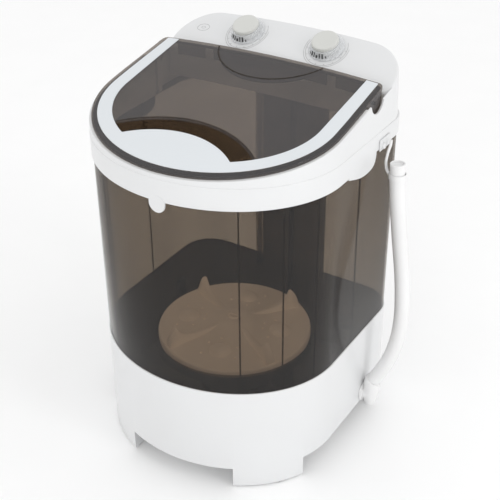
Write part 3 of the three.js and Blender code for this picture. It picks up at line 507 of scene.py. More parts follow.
camera_data = bpy.data.cameras.new("camera")
camera_data.sensor_width = 36
camera_data.lens = 72.72
camera = bpy.data.objects.new("camera", camera_data)
bpy.context.scene.collection.objects.link(camera)
back = Vector((math.sin(AZIMUTH) * math.cos(ELEVATION),
               -math.cos(AZIMUTH) * math.cos(ELEVATION), math.sin(ELEVATION)))
camera.rotation_mode = "QUATERNION"
camera.location = TARGET + back * DISTANCE
level = (-back).to_track_quat("-Z", "Y")
camera.rotation_quaternion = level @ Matrix.Rotation(ROLL, 3, "Z").to_quaternion()
bpy.context.scene.camera = camera

bpy.context.scene.view_settings.view_transform = "Standard"
world = bpy.data.worlds.new("studio")
world.use_nodes = True
world.node_tree.nodes["Background"].inputs["Color"].default_value = (1, 1, 1, 1)
world.node_tree.nodes["Background"].inputs["Strength"].default_value = 1.0
bpy.context.scene.world = world


def softbox(name, place, aim, size, power):
    """A soft rectangular lamp; places and sizes are in metres."""
    light = bpy.data.lights.new(name, "AREA")
    light.shape = "RECTANGLE"
    light.size, light.size_y = size
    light.energy = power
    made = bpy.data.objects.new(name, light)
    made.location = place
    made.rotation_mode = "QUATERNION"
    made.rotation_quaternion = (Vector(aim) - Vector(place)).to_track_quat("-Z", "Y")
    bpy.context.scene.collection.objects.link(made)


softbox("front", (0.5, -2.2, 1.3), (0, 0, 0.3), (1.2, 1.2), 7)
softbox("side", (2.1, -0.3, 1.0), (0, 0, 0.3), (0.5, 1.6), 9)

floor_material = surface("studio_floor", grey(0.94), grey(0.95), (0.6, 0.7), 30, 0.01)
FLOOR_HALF = 40.0  # metres
floor_mesh = bpy.data.meshes.new("floor")
floor_mesh.from_pydata(
    [(x * FLOOR_HALF, y * FLOOR_HALF, 0) for x, y in ((-1, -1), (1, -1), (1, 1), (-1, 1))],
    [], [(0, 1, 2, 3)])
floor_mesh.materials.append(floor_material)
studio_floor = bpy.data.objects.new("studio_floor", floor_mesh)
bpy.context.scene.collection.objects.link(studio_floor)


# ---- drain hose
def hose_mesh(path):
    """A tube with a slimmer cuff at its free end, which is bored a little way; the lower end
    is pushed on the elbow."""
    cuff = 5  # points of the path
    outer = tube_points(path[:-cuff], HOSE_R - 0.1)
    outer += tube_points(path[-cuff - 1:], HOSE_R - 0.5)[1:]
    step = (Vector(path[-1]) - Vector(path[-2])).normalized()
    lip, top, bore = (tube_points(path[-2:], r)[-1]
                      for r in (HOSE_R - 1.0, HOSE_BORE + 0.5, HOSE_BORE))

    def sunk(ring, depth):
        """A ring moved back along the hose."""
        return [tuple(Vector(p) - step * depth) for p in ring]

    return loft([*outer[:-1], sunk(outer[-1], 0.5), lip, top, sunk(bore, 0.5), sunk(bore, 3.0)])


hose_path = smooth_path(HOSE_ROUTE, 4.0)
hose = piece("drain_hose_tube", hose_mesh(hose_path), HOSE, "drain_hose_arm", ["drain_hose"])


def elbow_mesh():
    """Outlet elbow: flange on the wall, round belly with a cup below, spigot up the hose."""
    start, following = Vector(HOSE_ROUTE[0]), Vector(HOSE_ROUTE[1])
    along = (following - start).normalized()
    end = start - along * 0.4
    belly = Vector((193.5, OUTLET_Y, OUTLET_Z + 2))
    route = smooth_path([(184, OUTLET_Y, OUTLET_Z), (189, OUTLET_Y, OUTLET_Z + 0.5), tuple(belly),
                         tuple(belly.lerp(end, 0.45)), tuple(end - along * 7), tuple(end)], 1.6)
    radii = [HOSE_R + 0.5 + 0.8 * min(1, i / 6) for i in range(len(route))]
    radii[-1] = HOSE_R + 0.6
    body = loft(tube_points(route, radii))
    cup = revolve([(0, 30.2), (7.2, 30.2), (8.4, 31.4), (10.6, 42), (12.0, 48), (12.3, 54),
                   (11.5, 60), (7, 63.6), (0, 64.4)], 40, belly.x, belly.y)
    wall_x = HALF_WIDTH - 0.9
    flange = bar(wall_x, wall_x + 2.5, OUTLET_Y, OUTLET_Z, 16.6)
    rim = bar(wall_x + 2.3, wall_x + 3.5, OUTLET_Y, OUTLET_Z, 14.6)
    wall_side = block((-FAR, -FAR, 0), (wall_x, FAR, FAR))
    return cut(join(body, cup, flange, rim), wall_side)


elbow = piece("drain_outlet_elbow", elbow_mesh(), HOSE, "drain_hose_arm", ["drain_elbow"])


def strap_mesh():
    """Thin strap from the hook down to a collar round the hose."""
    route = smooth_path([(197.9, 82, 427), (193.5, 84, 430), (190, 86, 440), (189.5, 91, 452),
                         (190.5, 96, 462), (190.5, 97.6, 469)], 2.0)
    path = [Vector(p) for p in route]
    section = [(2.6 * math.cos(t), 1.9 * math.sin(t)) for t in turns_round(16)]
    sections = []
    for i, p in enumerate(path):
        ahead = heading(path, i)
        wide = ahead.cross(Vector((1, 0, 0))).normalized()
        thin = ahead.cross(wide)
        sections.append([tuple(p + wide * a + thin * b) for a, b in section])
    collar = revolve([(11.2, 423.4), (11.9, 423.8), (12.1, 427.5), (11.9, 431.2), (11.2, 431.6),
                      (11.2, 423.4)], 48, 209.9, OUTLET_Y)
    return join(loft(sections), collar)


strap = piece("hose_holding_strap", strap_mesh(), HOSE, "drain_hose_arm", ["hose_strap"])


# ---- base
def foot_region(side, x, y, clear):
    """The outer corner of the plan beyond a foot's inner corner."""
    ys = (-FAR, y - clear) if y < 0 else (y + clear, FAR)
    return side_block(side, (x + clear, FAR), ys, (0, 240))


def base_mesh():
    """The base's wall with its four hollow feet, rounded along their lower edges."""
    edge = 1.4
    wall = shell(
        arc(BASE_INSET + edge, BASE_Z + edge, edge, 270, 180)
        + arc(BASE_INSET + 0.9, JOINT_Z - 1.0, 0.9, 180, 90)
        + [(BASE_INSET + WALL, JOINT_Z - 0.1), (BASE_INSET + WALL, BASE_Z)]
    )
    plan = [(BASE_INSET + inset, z) for inset, z in ((2.2, 0.0), (1.1, 0.35), (0.35, 1.1), (0, 2.4))]
    for side, x, y in FEET:
        rings = [raised(outline(inset), FOOT_Z + dz) for inset, dz in plan]
        rings.append(raised(outline(BASE_INSET), BASE_Z + 3))
        outer = within(loft(rings), foot_region(side, x, y, 0))
        inner = within(slab(BASE_INSET + WALL, FOOT_Z + WALL, JOINT_Z + 5),
                       foot_region(side, x, y, WALL))
        wall = cut(join(wall, outer), inner)
    return wall


piece("base_shell", base_mesh(), WHITE, "cabinet", ["base_housing"])


# ---- tub
def tub_floor_z(x, y):
    """Height of the tub's floor, which rises outwards from the pulsator's recess."""
    return FLOOR_Z + FLOOR_RISE * (math.hypot(x, y) - RECESS_R)


def round_ring(radius, z, guide):
    """A circle whose points face the points of a plan outline."""
    turns = [math.atan2(y, x) for x, y in guide]
    return [(radius * math.cos(t), radius * math.sin(t), z) for t in turns]


def tub_mesh():
    """The tub as one wall: up its outside, down its inside, over the floor and back below."""
    guide = outline(12)
    under_z = RECESS_Z - 3.5
    rings = [raised(outline(TUB_FOOT_INSET), lambda x, y: tub_floor_z(x, y) - 4)]
    rings += [raised(outline(TUB_FOOT_INSET), z) for z in (JOINT_Z - 1.5, JOINT_Z)]
    rings += [raised(outline(i), JOINT_Z + 0.15 + dz) for i, dz in
              arc(TUB_INSET + 0.5, 0.5, 0.5, 270, 180, 3)]
    rings += [raised(outline(i), z) for i, z in arc(TUB_INSET + 0.8, TUB_TOP_Z - 0.8, 0.8, 180, 90, 3)]
    rings += [raised(outline(TUB_INSET + TUB_WALL), z) for z in (TUB_TOP_Z, 190)]
    for i, dz in arc(TUB_INSET + TUB_WALL + 9, 9, 9, 180, 270, 7):
        rings.append(raised(outline(i), lambda x, y, d=dz: tub_floor_z(x, y) + d))
    far = outline(TUB_INSET + TUB_WALL + 10)
    near = round_ring(RECESS_R + 2, 0, guide)
    for t in (0.33, 0.66, 1.0):
        rings.append([(fx + (nx - fx) * t, fy + (ny - fy) * t,
                       tub_floor_z(fx + (nx - fx) * t, fy + (ny - fy) * t))
                      for (fx, fy), (nx, ny, _) in zip(far, near)])
    rings += [round_ring(r, z, guide) for r, z in (
        (RECESS_R + 0.5, FLOOR_Z - 0.6), (RECESS_R, FLOOR_Z - 2), (RECESS_R, RECESS_Z + 2),
        (RECESS_R - 2, RECESS_Z), (70, RECESS_Z), (17.5, RECESS_Z), (17.5, under_z),
        (70, under_z), (RECESS_R + 3, under_z), (RECESS_R + 4, FLOOR_Z - 4))]
    return loft(rings, loop=True)


def rib_places():
    """Where the mould's upright ribs run down the inside of the tub."""
    reach = HALF_DEPTH + SIDE_FRONT_Y - TUB_INSET - TUB_WALL
    half = HALF_WIDTH - TUB_INSET - TUB_WALL
    places = []
    for x in (104.0, 147.0, 171.0):
        y = SIDE_FRONT_Y - reach * math.sqrt(1 - (x / half) ** 2)
        places += [(x, y), (-x, y)]
    return places + [(half, 36.0), (-half, 36.0)]


def full_tub():
    """The tub with its wiring channel at the back and its drain hole."""
    side = DUCT_HALF + TUB_WALL
    duct_wall = within(block((-side, DUCT_Y - TUB_WALL, FLOOR_Z + 4), (side, 178, TUB_TOP_Z - 0.4)),
                       slab(TUB_INSET + 0.6, 0, TUB_TOP_Z + 5))
    duct = block((-DUCT_HALF, DUCT_Y, 0), (DUCT_HALF, FAR, FAR))
    drain_hole = post(DRAIN_X, DRAIN_Y, 140, 172, DRAIN_R)
    return cut(join(tub_mesh(), duct_wall), duct, drain_hole)


def tub_ribs():
    """Slim upright ribs standing just proud of the tub's inner face."""
    return add_mesh([post(x, y, 168, TUB_TOP_Z - 2, 1.1, 12) for x, y in rib_places()])


piece("wash_tub_shell", full_tub(), SMOKE, "cabinet", ["wash_tub"])
piece("wash_tub_ribs", tub_ribs(), DEEP_SMOKE, "cabinet")


# ---- pulsator
def vane_mesh(turn):
    """A radial vane: low near the hub, a curved fin rising to a peak by the rim."""
    side = [(12, 0), (110.5, 0), (110.0, 8), (108.5, 16), (105.5, 24), (101.5, 30.2),
            (98.6, 33.6), (96.8, 33.9), (94.6, 29), (90.5, 23), (84, 18), (74, 14.8), (58, 13.6),
            (36, 15.2), (20, 16.5), (12, 17)]
    sections = []
    for offset, shrink in ((-7.5, 0.0), (-6.2, 0.55), (-3.4, 0.95), (-1.2, 1.0), (1.2, 1.0),
                           (3.4, 0.95), (6.2, 0.55), (7.5, 0.0)):
        tall = 0.18 + 0.82 * shrink
        sections.append([(r, offset, PULSATOR_Z - 4 + z * tall) for r, z in side])
    return transformed(loft(sections), Matrix.Rotation(turn, 4, "Z"))


def dome_mesh(turn):
    """A low round dome between two vanes."""
    x, y = DOME_AT * math.cos(turn), DOME_AT * math.sin(turn)
    profile = [(0, -3), (17, -3), (17, 0.6), (15.4, 1.8), (14.2, 3.4), (12.6, 5.6), (9.6, 7.6),
               (5.4, 8.8), (0, 9)]
    return revolve([(r, PULSATOR_Z + 2 + dz) for r, dz in profile], 40, x, y)


def pulsator_mesh():
    """The agitator: a rimmed disc rising to its hub, with vanes, domes and drain holes."""
    rim = PULSATOR_R
    profile = [(0, -6), (rim - 3, -6), (rim - 3, -10.6), (rim, -10.6), (rim, -2.4),
               (rim - 0.8, -0.8), (rim - 2.6, 0), (rim - 4.4, -0.4), (rim - 7, -0.6),
               (88, 1.6), (60, 3.6), (44, 6), (32, 10.2), (24, 14), (19, 15.6), (14, 16), (0, 16)]
    body = revolve([(r, PULSATOR_Z + dz) for r, dz in profile], 128)
    for i in range(VANES):
        turn = FIRST_VANE + 2 * math.pi * i / VANES
        between = turn + math.pi / VANES
        body = join(body, vane_mesh(turn), dome_mesh(between))
        for aside, radius in ((-0.36, 62), (-0.14, 46), (0.14, 46), (0.36, 62), (-0.3, 86), (0.3, 86)):
            x, y = (radius * f(between + aside) for f in (math.cos, math.sin))
            body = cut(body, post(x, y, PULSATOR_Z - 4.5, 200, HOLE_R, 14))
    shaft_bore = post(0, 0, 100, PULSATOR_Z + 9, 7.3, 32)
    screw_seat = post(0, 0, PULSATOR_Z + 12, 220, 9.5, 40)
    return cut(body, shaft_bore, screw_seat)


piece("pulsator_plate", pulsator_mesh(), PULSATOR, "pulsator_drive", ["pulsator"])


# ---- top frame
def bezier(a, b, c, d):
    """Points after the first one on a curve with two handles."""
    steps = 14
    spots = []
    for i in range(1, steps + 1):
        t = i / steps
        spots.append(tuple((1 - t) ** 3 * p + 3 * (1 - t) ** 2 * t * q + 3 * (1 - t) * t * t * r
                           + t ** 3 * w for p, q, r, w in zip(a, b, c, d)))
    return spots


def side_drop(side):
    """Carrying grip: a drop in the lip's lower edge, steep at its rear end."""
    low = FRAME_Z - 14.7
    points = [(-6, FRAME_Z + 6), (-6, FRAME_Z - 2)]
    points += bezier((-6, FRAME_Z - 2), (14, FRAME_Z - 9), (26, low), (46, low))
    points += bezier((46, low), (62, low), (REAR_EDGE_Y, FRAME_Z - 12), (REAR_EDGE_Y, REAR_EDGE_Z))
    points.append((REAR_EDGE_Y, REAR_EDGE_Z + 6))
    return loft([[(x, y, z) for y, z in points] for x in (side * (HALF_WIDTH - 2), side * HALF_WIDTH)])


def frame_mesh():
    """The frame: outer lip, seat and skirt under the lid, rear shelf, tab and hinge lugs."""
    lip = shell(arc(1.2, FRAME_Z + 1.2, 1.2, 270, 180) + arc(1.0, LIP_Z - 1.0, 1.0, 180, 90, 3)
                + [(2.0, LIP_Z), (2.0, FRAME_Z)])
    top = shell(arc(FRAME_INSET + 0.8, -SEAT_DROP - 0.8, 0.8, 180, 90, 3)
                + [(3.0, -SEAT_DROP), (3.0, -120), (FRAME_INSET, -120)], base=lid_z)
    top = within(top, block((-FAR, -FAR, LIP_Z - 3), (FAR, ARM_Y - 0.3, FAR)))
    seat = shell([(FRAME_INSET + 0.6, -SEAT_DROP - WALL), (FRAME_INSET + 0.6, -SEAT_DROP),
                  (MOUTH_INSET, -SEAT_DROP), (MOUTH_INSET, -SEAT_DROP - WALL)], base=lid_z)
    skirt = shell([(MOUTH_INSET - 2.2, -SEAT_DROP), (MOUTH_INSET, -SEAT_DROP), (MOUTH_INSET, -74),
                   (MOUTH_INSET - 2.2, -74)], base=lid_z)
    open_front = block((-FAR, -FAR, LIP_Z - 8), (FAR, SEAT_END_Y, FAR))
    body = join(lip, top, within(seat, open_front), within(skirt, open_front))
    shelf = within(shell([(1, -3), (1, 0), (30, 0), (30, -3)], base=LIP_Z),
                   block((-FAR, 118, 0), (FAR, FAR, FAR)))
    body = cut(join(body, shelf), block((-FAR, REAR_EDGE_Y, 440), (FAR, FAR, REAR_EDGE_Z)))
    place = Matrix.Translation(Vector((7, -HALF_DEPTH + 1.0, FRAME_Z - 3.5)) * MM)
    tab = transformed(bar(-1.9, 1.1, 0, 0, 12), place @ Matrix.Rotation(math.pi / 2, 4, "Z"))
    tongue = block((-5, -HALF_DEPTH + 0.2, FRAME_Z - 3.5), (19, -HALF_DEPTH + 2.2, FRAME_Z + 0.5))
    body = join(body, within(tab, block((-20, -HALF_DEPTH, 400), (30, -170, LIP_Z - 6))), tongue)
    for side in (-1, 1):
        body = join(body, side_drop(side))
        notch = bar(side * 160, side * 200, NOTCH_Y, NOTCH_Z, NOTCH_R, 64)
        way = block((-FAR, NOTCH_Y - NOTCH_R, NOTCH_Z), (FAR, ARM_Y, FAR))
        cusp = block((-FAR, NOTCH_Y, NOTCH_Z - 5), (FAR, ARM_Y, FAR))
        body = cut(body, notch, way, cusp)
        lug = bar(side * LUG_INNER, side * LUG_OUTER, PIVOT_Y, PIVOT_Z, 6, 40)
        depths = (PIVOT_Y - 9, PIVOT_Y)
        web = side_block(side, (LUG_INNER, LUG_OUTER), depths, (LIP_Z - 12, PIVOT_Z))
        root = side_block(side, (LUG_INNER, HALF_WIDTH - 1), depths, (LIP_Z - 12, LIP_Z - 8))
        pin_hole = bar(side * 150, side * 175, PIVOT_Y, PIVOT_Z, 2.9)
        body = cut(join(body, lug, web, root), pin_hole)
    return cut(body, post(0, CORD_HOLE_Y, 400, 520, CORD_HOLE_R))


piece("top_frame_moulding", frame_mesh(), WHITE, "cabinet", ["top_frame"])


def hook_mesh():
    """A small plate on the frame's side with the peg that the hose's strap hooks over."""
    plate = block((HOOK_X, 78, 458), (HOOK_TOP_X, 108, 474))
    peg = revolve([(0, 0), (4.2, 0), (4.2, 4.4), (3.6, 5.2), (0, 5.3)], 32)
    place = Matrix.Translation(Vector((HOOK_X, 86, 464)) * MM)
    return join(plate, transformed(peg, place @ Matrix.Rotation(math.pi / 2, 4, "Y")))


piece("hose_hook_plate", hook_mesh(), WHITE, "cabinet", ["hose_hook"], bevel=0.5)


# ---- control panel
def panel_outline(inset):
    """The rear part of the plan, with a bowed front edge."""
    half, depth = HALF_WIDTH - inset, inset - FRAME_INSET
    small = max(10.0 - depth, 1.0)
    ring = []
    for sign, first in ((-1, 180), (1, 270)):
        span = half - 1 - small
        front = bowed(PANEL_FRONT_Y + depth, span)
        ring += arc(sign * span, front + small, small, first, first + 90, 8)
        if sign < 0:
            ring += [(x, bowed(PANEL_FRONT_Y + depth, x)) for x in
                     (-span + 2 * span * i / 40 for i in range(1, 40))]
    corner = PANEL_CORNER_R - inset
    span = half - corner
    for sign, first in ((1, 0), (-1, 90)):
        ring += arc(sign * span, HALF_DEPTH - PANEL_CORNER_R, corner, first, first + 90, 24)
        if sign > 0:
            ring += [(span - 2 * span * i / 30, HALF_DEPTH - inset) for i in range(1, 30)]
    return ring


def panel_ring(inset, height):
    """The panel's outline lifted to a height, leaning in at the sides and rear as it rises."""
    ring = []
    for x, y in panel_outline(inset):
        lean = PANEL_DRAFT * (height_at(height, x, y) - LIP_Z) / HALF_WIDTH
        rearward = min(1.0, max(0.0, (y - 125) / 40))
        ring.append((x * (1 - lean), y * (1 - lean * rearward)))
    return raised(ring, height)


def zipped(ring):
    """Triangles that close a long flat ring, its two sides joined in step along x."""
    count = len(ring)
    left = min(range(count), key=lambda i: ring[i][0])
    right = max(range(count), key=lambda i: ring[i][0])
    near = [(left + i) % count for i in range((right - left) % count + 1)]
    far = [(left - i) % count for i in range((left - right) % count + 1)]
    faces, a, b = [], 0, 0
    while a < len(near) - 1 or b < len(far) - 1:
        ahead = b == len(far) - 1 or (
            a < len(near) - 1 and ring[near[a + 1]][0] <= ring[far[b + 1]][0])
        corner = near[a + 1] if ahead else far[b + 1]
        triangle = (near[a], corner, far[b])
        if len(set(triangle)) == 3:
            faces.append(triangle)
        a, b = (a + 1, b) if ahead else (a, b + 1)
    return faces


def panel_housing():
    """The hollow housing: rounded top edges, crowned top, open below."""
    r = 3.5
    top = [(i, lambda x, y, d=dz: panel_z(x, y) + d)
           for i, dz in arc(FRAME_INSET + r, -r, r, 180, 95, 7)]
    top += [(i, panel_z) for i in (8.0, 12.0, 16.0)]
    rings = [panel_ring(FRAME_INSET, PANEL_FOOT_Z), panel_ring(FRAME_INSET, 505)]
    outside = loft(rings + [panel_ring(i, z) for i, z in top], cap=zipped)
    rings = [panel_ring(FRAME_INSET + WALL, 470),
             panel_ring(FRAME_INSET + WALL, lambda x, y: panel_z(x, y) - r - WALL)]
    rings += [panel_ring(i, lambda x, y: panel_z(x, y) - WALL - 0.2)
              for i in (FRAME_INSET + WALL + 4, 12.0, 16.0)]
    return cut(outside, loft(rings, cap=zipped))


def side_arm(side):
    """One arm of the panel that runs forward beside the lid."""
    foot, inner = PANEL_FOOT_Z, 178.6
    sections = []
    for y in np.linspace(ARM_Y, 116, 8):
        top = lid_z(181, y) - 14
        out = [(HALF_WIDTH - FRAME_INSET - 0.02) * (1 - PANEL_DRAFT * (z - LIP_Z) / HALF_WIDTH)
               for z in (foot, top - 0.5, top)]
        section = ((inner, foot), (out[0], foot), (out[1], top - 0.5), (out[2] - 0.4, top),
                   (inner, top))
        sections.append([(side * x, y, z) for x, z in section])
    return loft(sections)


def panel_mesh():
    """The housing and its two arms, with a hole for each timer's shaft."""
    body = join(panel_housing(), side_arm(-1), side_arm(1))
    for side in (-1, 1):
        body = cut(body, transformed(post(0, 0, -40, 40, 5), knob_place(side)))
    return body


def knob_place(side):
    """From a knob's own axes, upright on the panel, to the machine's."""
    z = panel_z(KNOB_X, KNOB_Y)
    return (Matrix.Translation(Vector((side * KNOB_X, KNOB_Y, z)) * MM)
            @ Matrix.Rotation(PANEL_TILT, 4, "X"))


piece("control_panel_housing", panel_mesh(), WHITE, "cabinet", ["control_panel"])


# ---- printed marks
def flat_arc(x, y, inner, outer, start, end, squeeze=1.0, count=64):
    """A thin printed arc lying on the panel's top."""
    lift, sink = 0.12, -0.5
    sections = []
    for i in range(count + 1):
        turn = math.radians(start + (end - start) * i / count)
        section = []
        for r, dz in ((inner, sink), (outer, sink), (outer, lift), (inner, lift)):
            px, py = x + r * math.cos(turn), y + squeeze * r * math.sin(turn)
            section.append((px, py, panel_z(px, py) + dz))
        sections.append(section)
    full = abs(end - start) > 359.9
    return loft(sections[:-1], loop=True) if full else loft(sections)


def dial_marks(side):
    """Two printed arcs round a dial, with nine short marks inside them."""
    x, y = side * KNOB_X, KNOB_Y
    marks = [flat_arc(x, y, 29.0, 29.45, 150, 395), flat_arc(x, y, 31.6, 32.0, 165, 372)]
    for k in range(9):
        turn = 165 + 25 * k
        marks.append(flat_arc(x, y, 26.6, 28.4, turn, turn + 1.1, count=2))
    return add_mesh(marks)


for side, word in ((-1, "left"), (1, "right")):
    piece(f"dial_print_{word}", dial_marks(side), PRINT)
emblem = add_mesh([flat_arc(-139, 143, 9.6, 10.1, 0, 360, 0.62),
                   flat_arc(-139, 143, 3.2, 3.6, 0, 360, 0.5)])
piece("oval_emblem", emblem, PRINT)


# ---- knobs
def fluted(profile, flutes):
    """Turned about Z, closed on itself, with flutes: the profile is [(radius, z, depth), ...]."""
    rings = []
    for middle, z, depth in profile:
        turned = ((t, middle + depth * math.cos(flutes * t)) for t in turns_round(192))
        rings.append([(r * math.cos(t), r * math.sin(t), z) for t, r in turned])
    return loft(rings, loop=True)


def dial_skirt():
    """Flared see-through skirt with fine flutes round its cone."""
    return fluted([(18.3, 3.0, 0), (7.0, 3.0, 0), (7.0, 0.9, 0), (25.0, 0.9, 0), (25.5, 1.3, 0),
                   (25.5, 2.1, 0), (25.0, 2.8, 0.1), (23.4, 5.0, 0.35), (21.6, 8.4, 0.35),
                   (20.5, 11.0, 0.1), (20.0, 11.4, 0), (18.6, 11.4, 0), (18.3, 11.1, 0)], 48)


def knob_cap():
    """Ivory cap: ribbed side, softly domed top with a shallow dish."""
    return fluted([(3.3, 3.4, 0), (17.8, 3.4, 0), (17.8, 11.9, 0), (19.2, 11.9, 0),
                   (19.38, 12.3, 0.12), (19.1, 13.4, 0.2), (18.8, 15.0, 0.2), (18.3, 16.0, 0.1),
                   (17.2, 16.6, 0), (15.6, 16.75, 0), (13.0, 16.6, 0), (8.0, 16.4, 0),
                   (3.0, 16.4, 0), (0.05, 16.4, 0), (0.05, 11.4, 0), (3.3, 11.4, 0)], 32)


def skirt_ticks():
    """Black marks on the skirt's cone, on the side that faces the front."""
    low_r, low_z, thick, slope = 24.43, 4.2, 0.8, 0.55
    first, step = -131, 11
    meshes = []
    for k, (tall, half) in enumerate(((2.6, 0.5), (5.6, 1.0), (5.6, 0.7), (3.4, 1.3), (5.6, 0.7),
                                      (5.6, 1.0), (2.6, 0.5))):
        high_r, high_z = low_r - slope * tall, low_z + tall
        section = ((low_r - thick, low_z), (low_r, low_z), (high_r, high_z), (high_r - thick, high_z))
        tick = loft([[(r, y, z) for r, z in section] for y in (-half, half)])
        meshes.append(transformed(tick, Matrix.Rotation(math.radians(first + step * k), 4, "Z")))
    return add_mesh(meshes)


for side, word in ((-1, "wash_timer"), (1, "spin_timer")):
    place = knob_place(side)
    piece(f"{word}_skirt", transformed(dial_skirt(), place), CLEAR, word, [f"{word}_dial"])
    piece(f"{word}_cap", transformed(knob_cap(), place), IVORY, word, [f"{word}_knob"])
    piece(f"{word}_ticks", transformed(skirt_ticks(), place), TICK, word)


# ---- lid
def drawn_in(plan, bow=True):
    """A plan ring whose sides draw in towards the rear, and whose rear edge is bowed."""
    ring = []
    for x, y in plan:
        x *= 1 - REAR_NARROWING / (HALF_WIDTH - LID_INSET) * min(1.0, max(0.0, y / 90))
        share = min(1.0, max(0.0, (y - 20) / 80)) if bow else 0.0
        ring.append((x, y - REAR_BOW * (x / 160) ** 2 * share))
    return ring


def lid_ring(inset, dz):
    """The lid's own outline, set in and offset from its top surface."""
    plan = drawn_in(outline(inset, rear=LID_REAR_Y + LID_INSET, corner=LID_CORNER + LID_INSET))
    return raised(plan, lid_offset(dz))


def lid_offset(dz):
    """A surface that runs along the lid's top at an offset."""
    return lambda x, y: lid_z(x, y) + dz


def recess_disc(radius, low=460, high=560):
    """A disc about the middle of the finger recess's arcs."""
    return post(0, RECESS_MID_Y, low, high, radius, 360)


def before_rear(rear_y):
    """Everything in front of a bowed rear edge."""
    edge = [(x, bowed(rear_y, x)) for x in np.linspace(FAR / 3, -FAR / 3, 60)]
    plan = [(-FAR / 3, -FAR), (FAR / 3, -FAR), *edge]
    return loft([[(x, y, z) for x, y in plan] for z in (400, 640)])


def lid_plate():
    """Skirt, rounded edge and crowned top of the lid, closed in the middle."""
    r = 1.5
    low, top = -3.6, -0.5
    middle = [36, 54, 72, 90, 108, 124]
    section = [(i, low) for i in reversed(middle)] + [(14, low), (LID_INSET + WALL, low)]
    section += [(LID_INSET + WALL, -LID_SKIRT), (LID_INSET + 0.6, -LID_SKIRT),
                (LID_INSET, -LID_SKIRT + 0.6)]
    section += arc(LID_INSET + r, top - r, r, 180, 90, 6)
    section += [(11, top), (14, top)] + [(i, top) for i in middle]
    return loft([lid_ring(i, dz) for i, dz in section])


def band_ring(outer, inner, low, high, rear_margin):
    """The band's plan between two offsets from the lid's surface; the edges are eased."""
    ease = 0.35 if high < 1 else 0.0
    rows = [(outer, low, True), (outer, high - ease, True), (outer + ease, high, True),
            (inner - ease, high, False), (inner, high - ease, False), (inner, low, False)]
    rings = []
    for inset, dz, narrow in rows:
        plan = drawn_in(outline(inset), bow=False) if narrow else outline(inset)
        rings.append(raised(plan, lid_offset(dz)))
    return within(loft(rings, loop=True), before_rear(LID_REAR_Y - rear_margin))


def finger_pocket(wall, floor, high):
    """The crescent between the recess's two arcs, grown by a wall."""
    crescent = cut(recess_disc(RECESS_REAR_R + wall, 470, 570), recess_disc(RECESS_FRONT_R - wall))
    return within(crescent, slab(BAND_INNER - wall, floor, high))


def lid_mesh():
    """The smoked cover with its finger recess, the groove for the band and the hinge ears."""
    seat = within(slab(BAND_INNER - 1, lid_offset(-GROOVE_DEPTH), lid_offset(8)),
                  recess_disc(RECESS_FRONT_R))
    groove = band_ring(BAND_OUTER - 0.3, BAND_INNER + 0.3, -GROOVE_DEPTH, 8, BAND_REAR_MARGIN - 0.3)
    body = cut(lid_plate(), finger_pocket(0, FINGER_FLOOR_Z, lid_offset(9)), groove, seat)
    for side in (-1, 1):
        disc = bar(side * EAR_OUTER, side * EAR_INNER, PIVOT_Y, PIVOT_Z, EAR_R, 64)
        upper = side_block(side, (EAR_INNER, EAR_OUTER), (PIVOT_Y - EAR_R, PIVOT_Y + EAR_R),
                           (PIVOT_Z, FAR))
        ear = within(join(disc, upper), slab(LID_INSET - 3, 460, lid_offset(-1.2)))
        body = cut(join(body, ear), bar(side * 172, side * 177, PIVOT_Y, PIVOT_Z, 2.75))
    return body


def recess_walls():
    """Floor and walls of the finger recess, with a soft bead along its rear edge."""
    walls = cut(finger_pocket(WALL, FINGER_FLOOR_Z - WALL, lid_offset(-3.7)),
                finger_pocket(0, FINGER_FLOOR_Z, lid_offset(9)))
    return join(walls, arc_bead(RECESS_MID_Y, RECESS_REAR_R + 1.2, 48.5, 131.5, 0.9))


def rim_shade_strip():
    """Dark strip under the lid's rim, between its skirt and the white band: painted shade that darkens
    what is seen through the rim.
    """
    rows = ((LID_INSET + WALL + 0.3, -4.7), (LID_INSET + WALL + 0.3, -3.8), (BAND_OUTER, -3.8),
            (BAND_OUTER, -4.7))
    return loft([lid_ring(i, dz) for i, dz in rows], loop=True)


def arc_bead(middle_y, radius, start, end, half):
    """A low rounded bead along an arc on the lid."""
    sections = []
    for turn in np.radians(np.linspace(start, end, 91)):
        section = []
        for across, dz in ((-1, -1.4), (1, -1.4), (1, -0.5), (0.65, -0.12), (0, 0.0), (-0.65, -0.12),
                           (-1, -0.5)):
            r = radius + half * across
            x, y = r * math.cos(turn), middle_y + r * math.sin(turn)
            section.append((x, y, lid_z(x, y) + dz))
        sections.append(section)
    return loft(sections)


def pocket_skin():
    """A lower skin behind the beaded arc, which darkens what is seen through it."""
    plan = within(post(0, POCKET_Y, 400, 600, POCKET_R - 1.6, 120),
                  block((-FAR, 0, 410), (FAR, LID_REAR_Y - 8, 590)))
    return within(plan, slab(LID_INSET + 4, lid_offset(-7.5), lid_offset(-5.8)))


def rear_flange(low_x, high_x):
    """A strip hanging under the lid near its rear edge."""
    sections = []
    for x in np.linspace(low_x, high_x, 12):
        y = bowed(98.6, x)
        z = lid_z(x, y)
        sections.append([(x, y, z - 4.2), (x, y, z - 21), (x, y + 1.8, z - 21), (x, y + 1.8, z - 4.2)])
    return loft(sections)


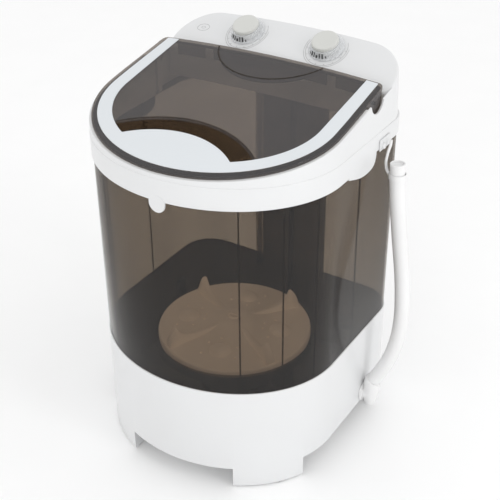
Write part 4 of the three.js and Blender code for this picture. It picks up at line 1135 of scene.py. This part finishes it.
piece("lid_smoked_cover", lid_mesh(), LID_SMOKE, "lid", ["lid_cover"])
piece("finger_recess_walls", recess_walls(), DEEP_SMOKE, "lid")
piece("lid_rear_bead", arc_bead(POCKET_Y, POCKET_R, 203, 337, 1.2), DEEP_SMOKE, "lid")
# painted shade: a black strip that darkens the lid's rim from below
piece("lid_rim_shade_strip", rim_shade_strip(), BLACK, "lid")
piece("lid_pocket_skin", pocket_skin(), LID_SMOKE, "lid")
for low_x, high_x, word in ((-150, -105, "left"), (-91, 91, "middle"), (105, 150, "right")):
    piece(f"lid_flange_{word}", rear_flange(low_x, high_x), LID_SMOKE, "lid")


def band_mesh():
    """White band let into the lid; in front of the finger recess it widens to a flush plate."""
    plate = within(slab(BAND_INNER - 0.7, lid_offset(-BAND_DEPTH), lid_offset(-0.01)),
                   recess_disc(RECESS_FRONT_R))
    return join(band_ring(BAND_OUTER, BAND_INNER, -BAND_DEPTH, 0.0, BAND_REAR_MARGIN), plate)


piece("lid_white_band", band_mesh(), BAND, "lid", ["lid_trim"])


# ---- CAD nodes that stay, with their finish
CORNERS = ("front_left", "front_right", "rear_left", "rear_right")
KEPT = {
    WHITE: ["bottom_cover", "drain_pipe", "panel_tray", "rear_duct_cover", "bearing_housing"],
    DEEP_SMOKE: ["lint_grate"],
    PULSATOR: ["pulsator_screw"],
    BLACK: ["wash_timer_body", "spin_timer_body", "run_capacitor", "wiring_harness",
            "hinge_pin_left", "hinge_pin_right"],
    RUBBER: [*(f"foot_pad_{corner}" for corner in CORNERS),
             "cable_gland", "shaft_seal", "drive_belt"],
    STEEL: [*(f"cover_screw_{corner}" for corner in CORNERS), "panel_screw_left",
            "panel_screw_right", "drive_shaft", "motor_shaft", "motor_pulley", "lower_bearing",
            "upper_bearing", "capacitor_clip", "wash_timer_shaft", "spin_timer_shaft"],
    PAINTED: ["drive_pulley", "motor_body", "motor_bracket"],
}
for material, names in KEPT.items():
    for name in names:
        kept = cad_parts[name]
        kept.data.materials.clear()
        kept.data.materials.append(material)
        ease_edges(kept, 0.3, 40)
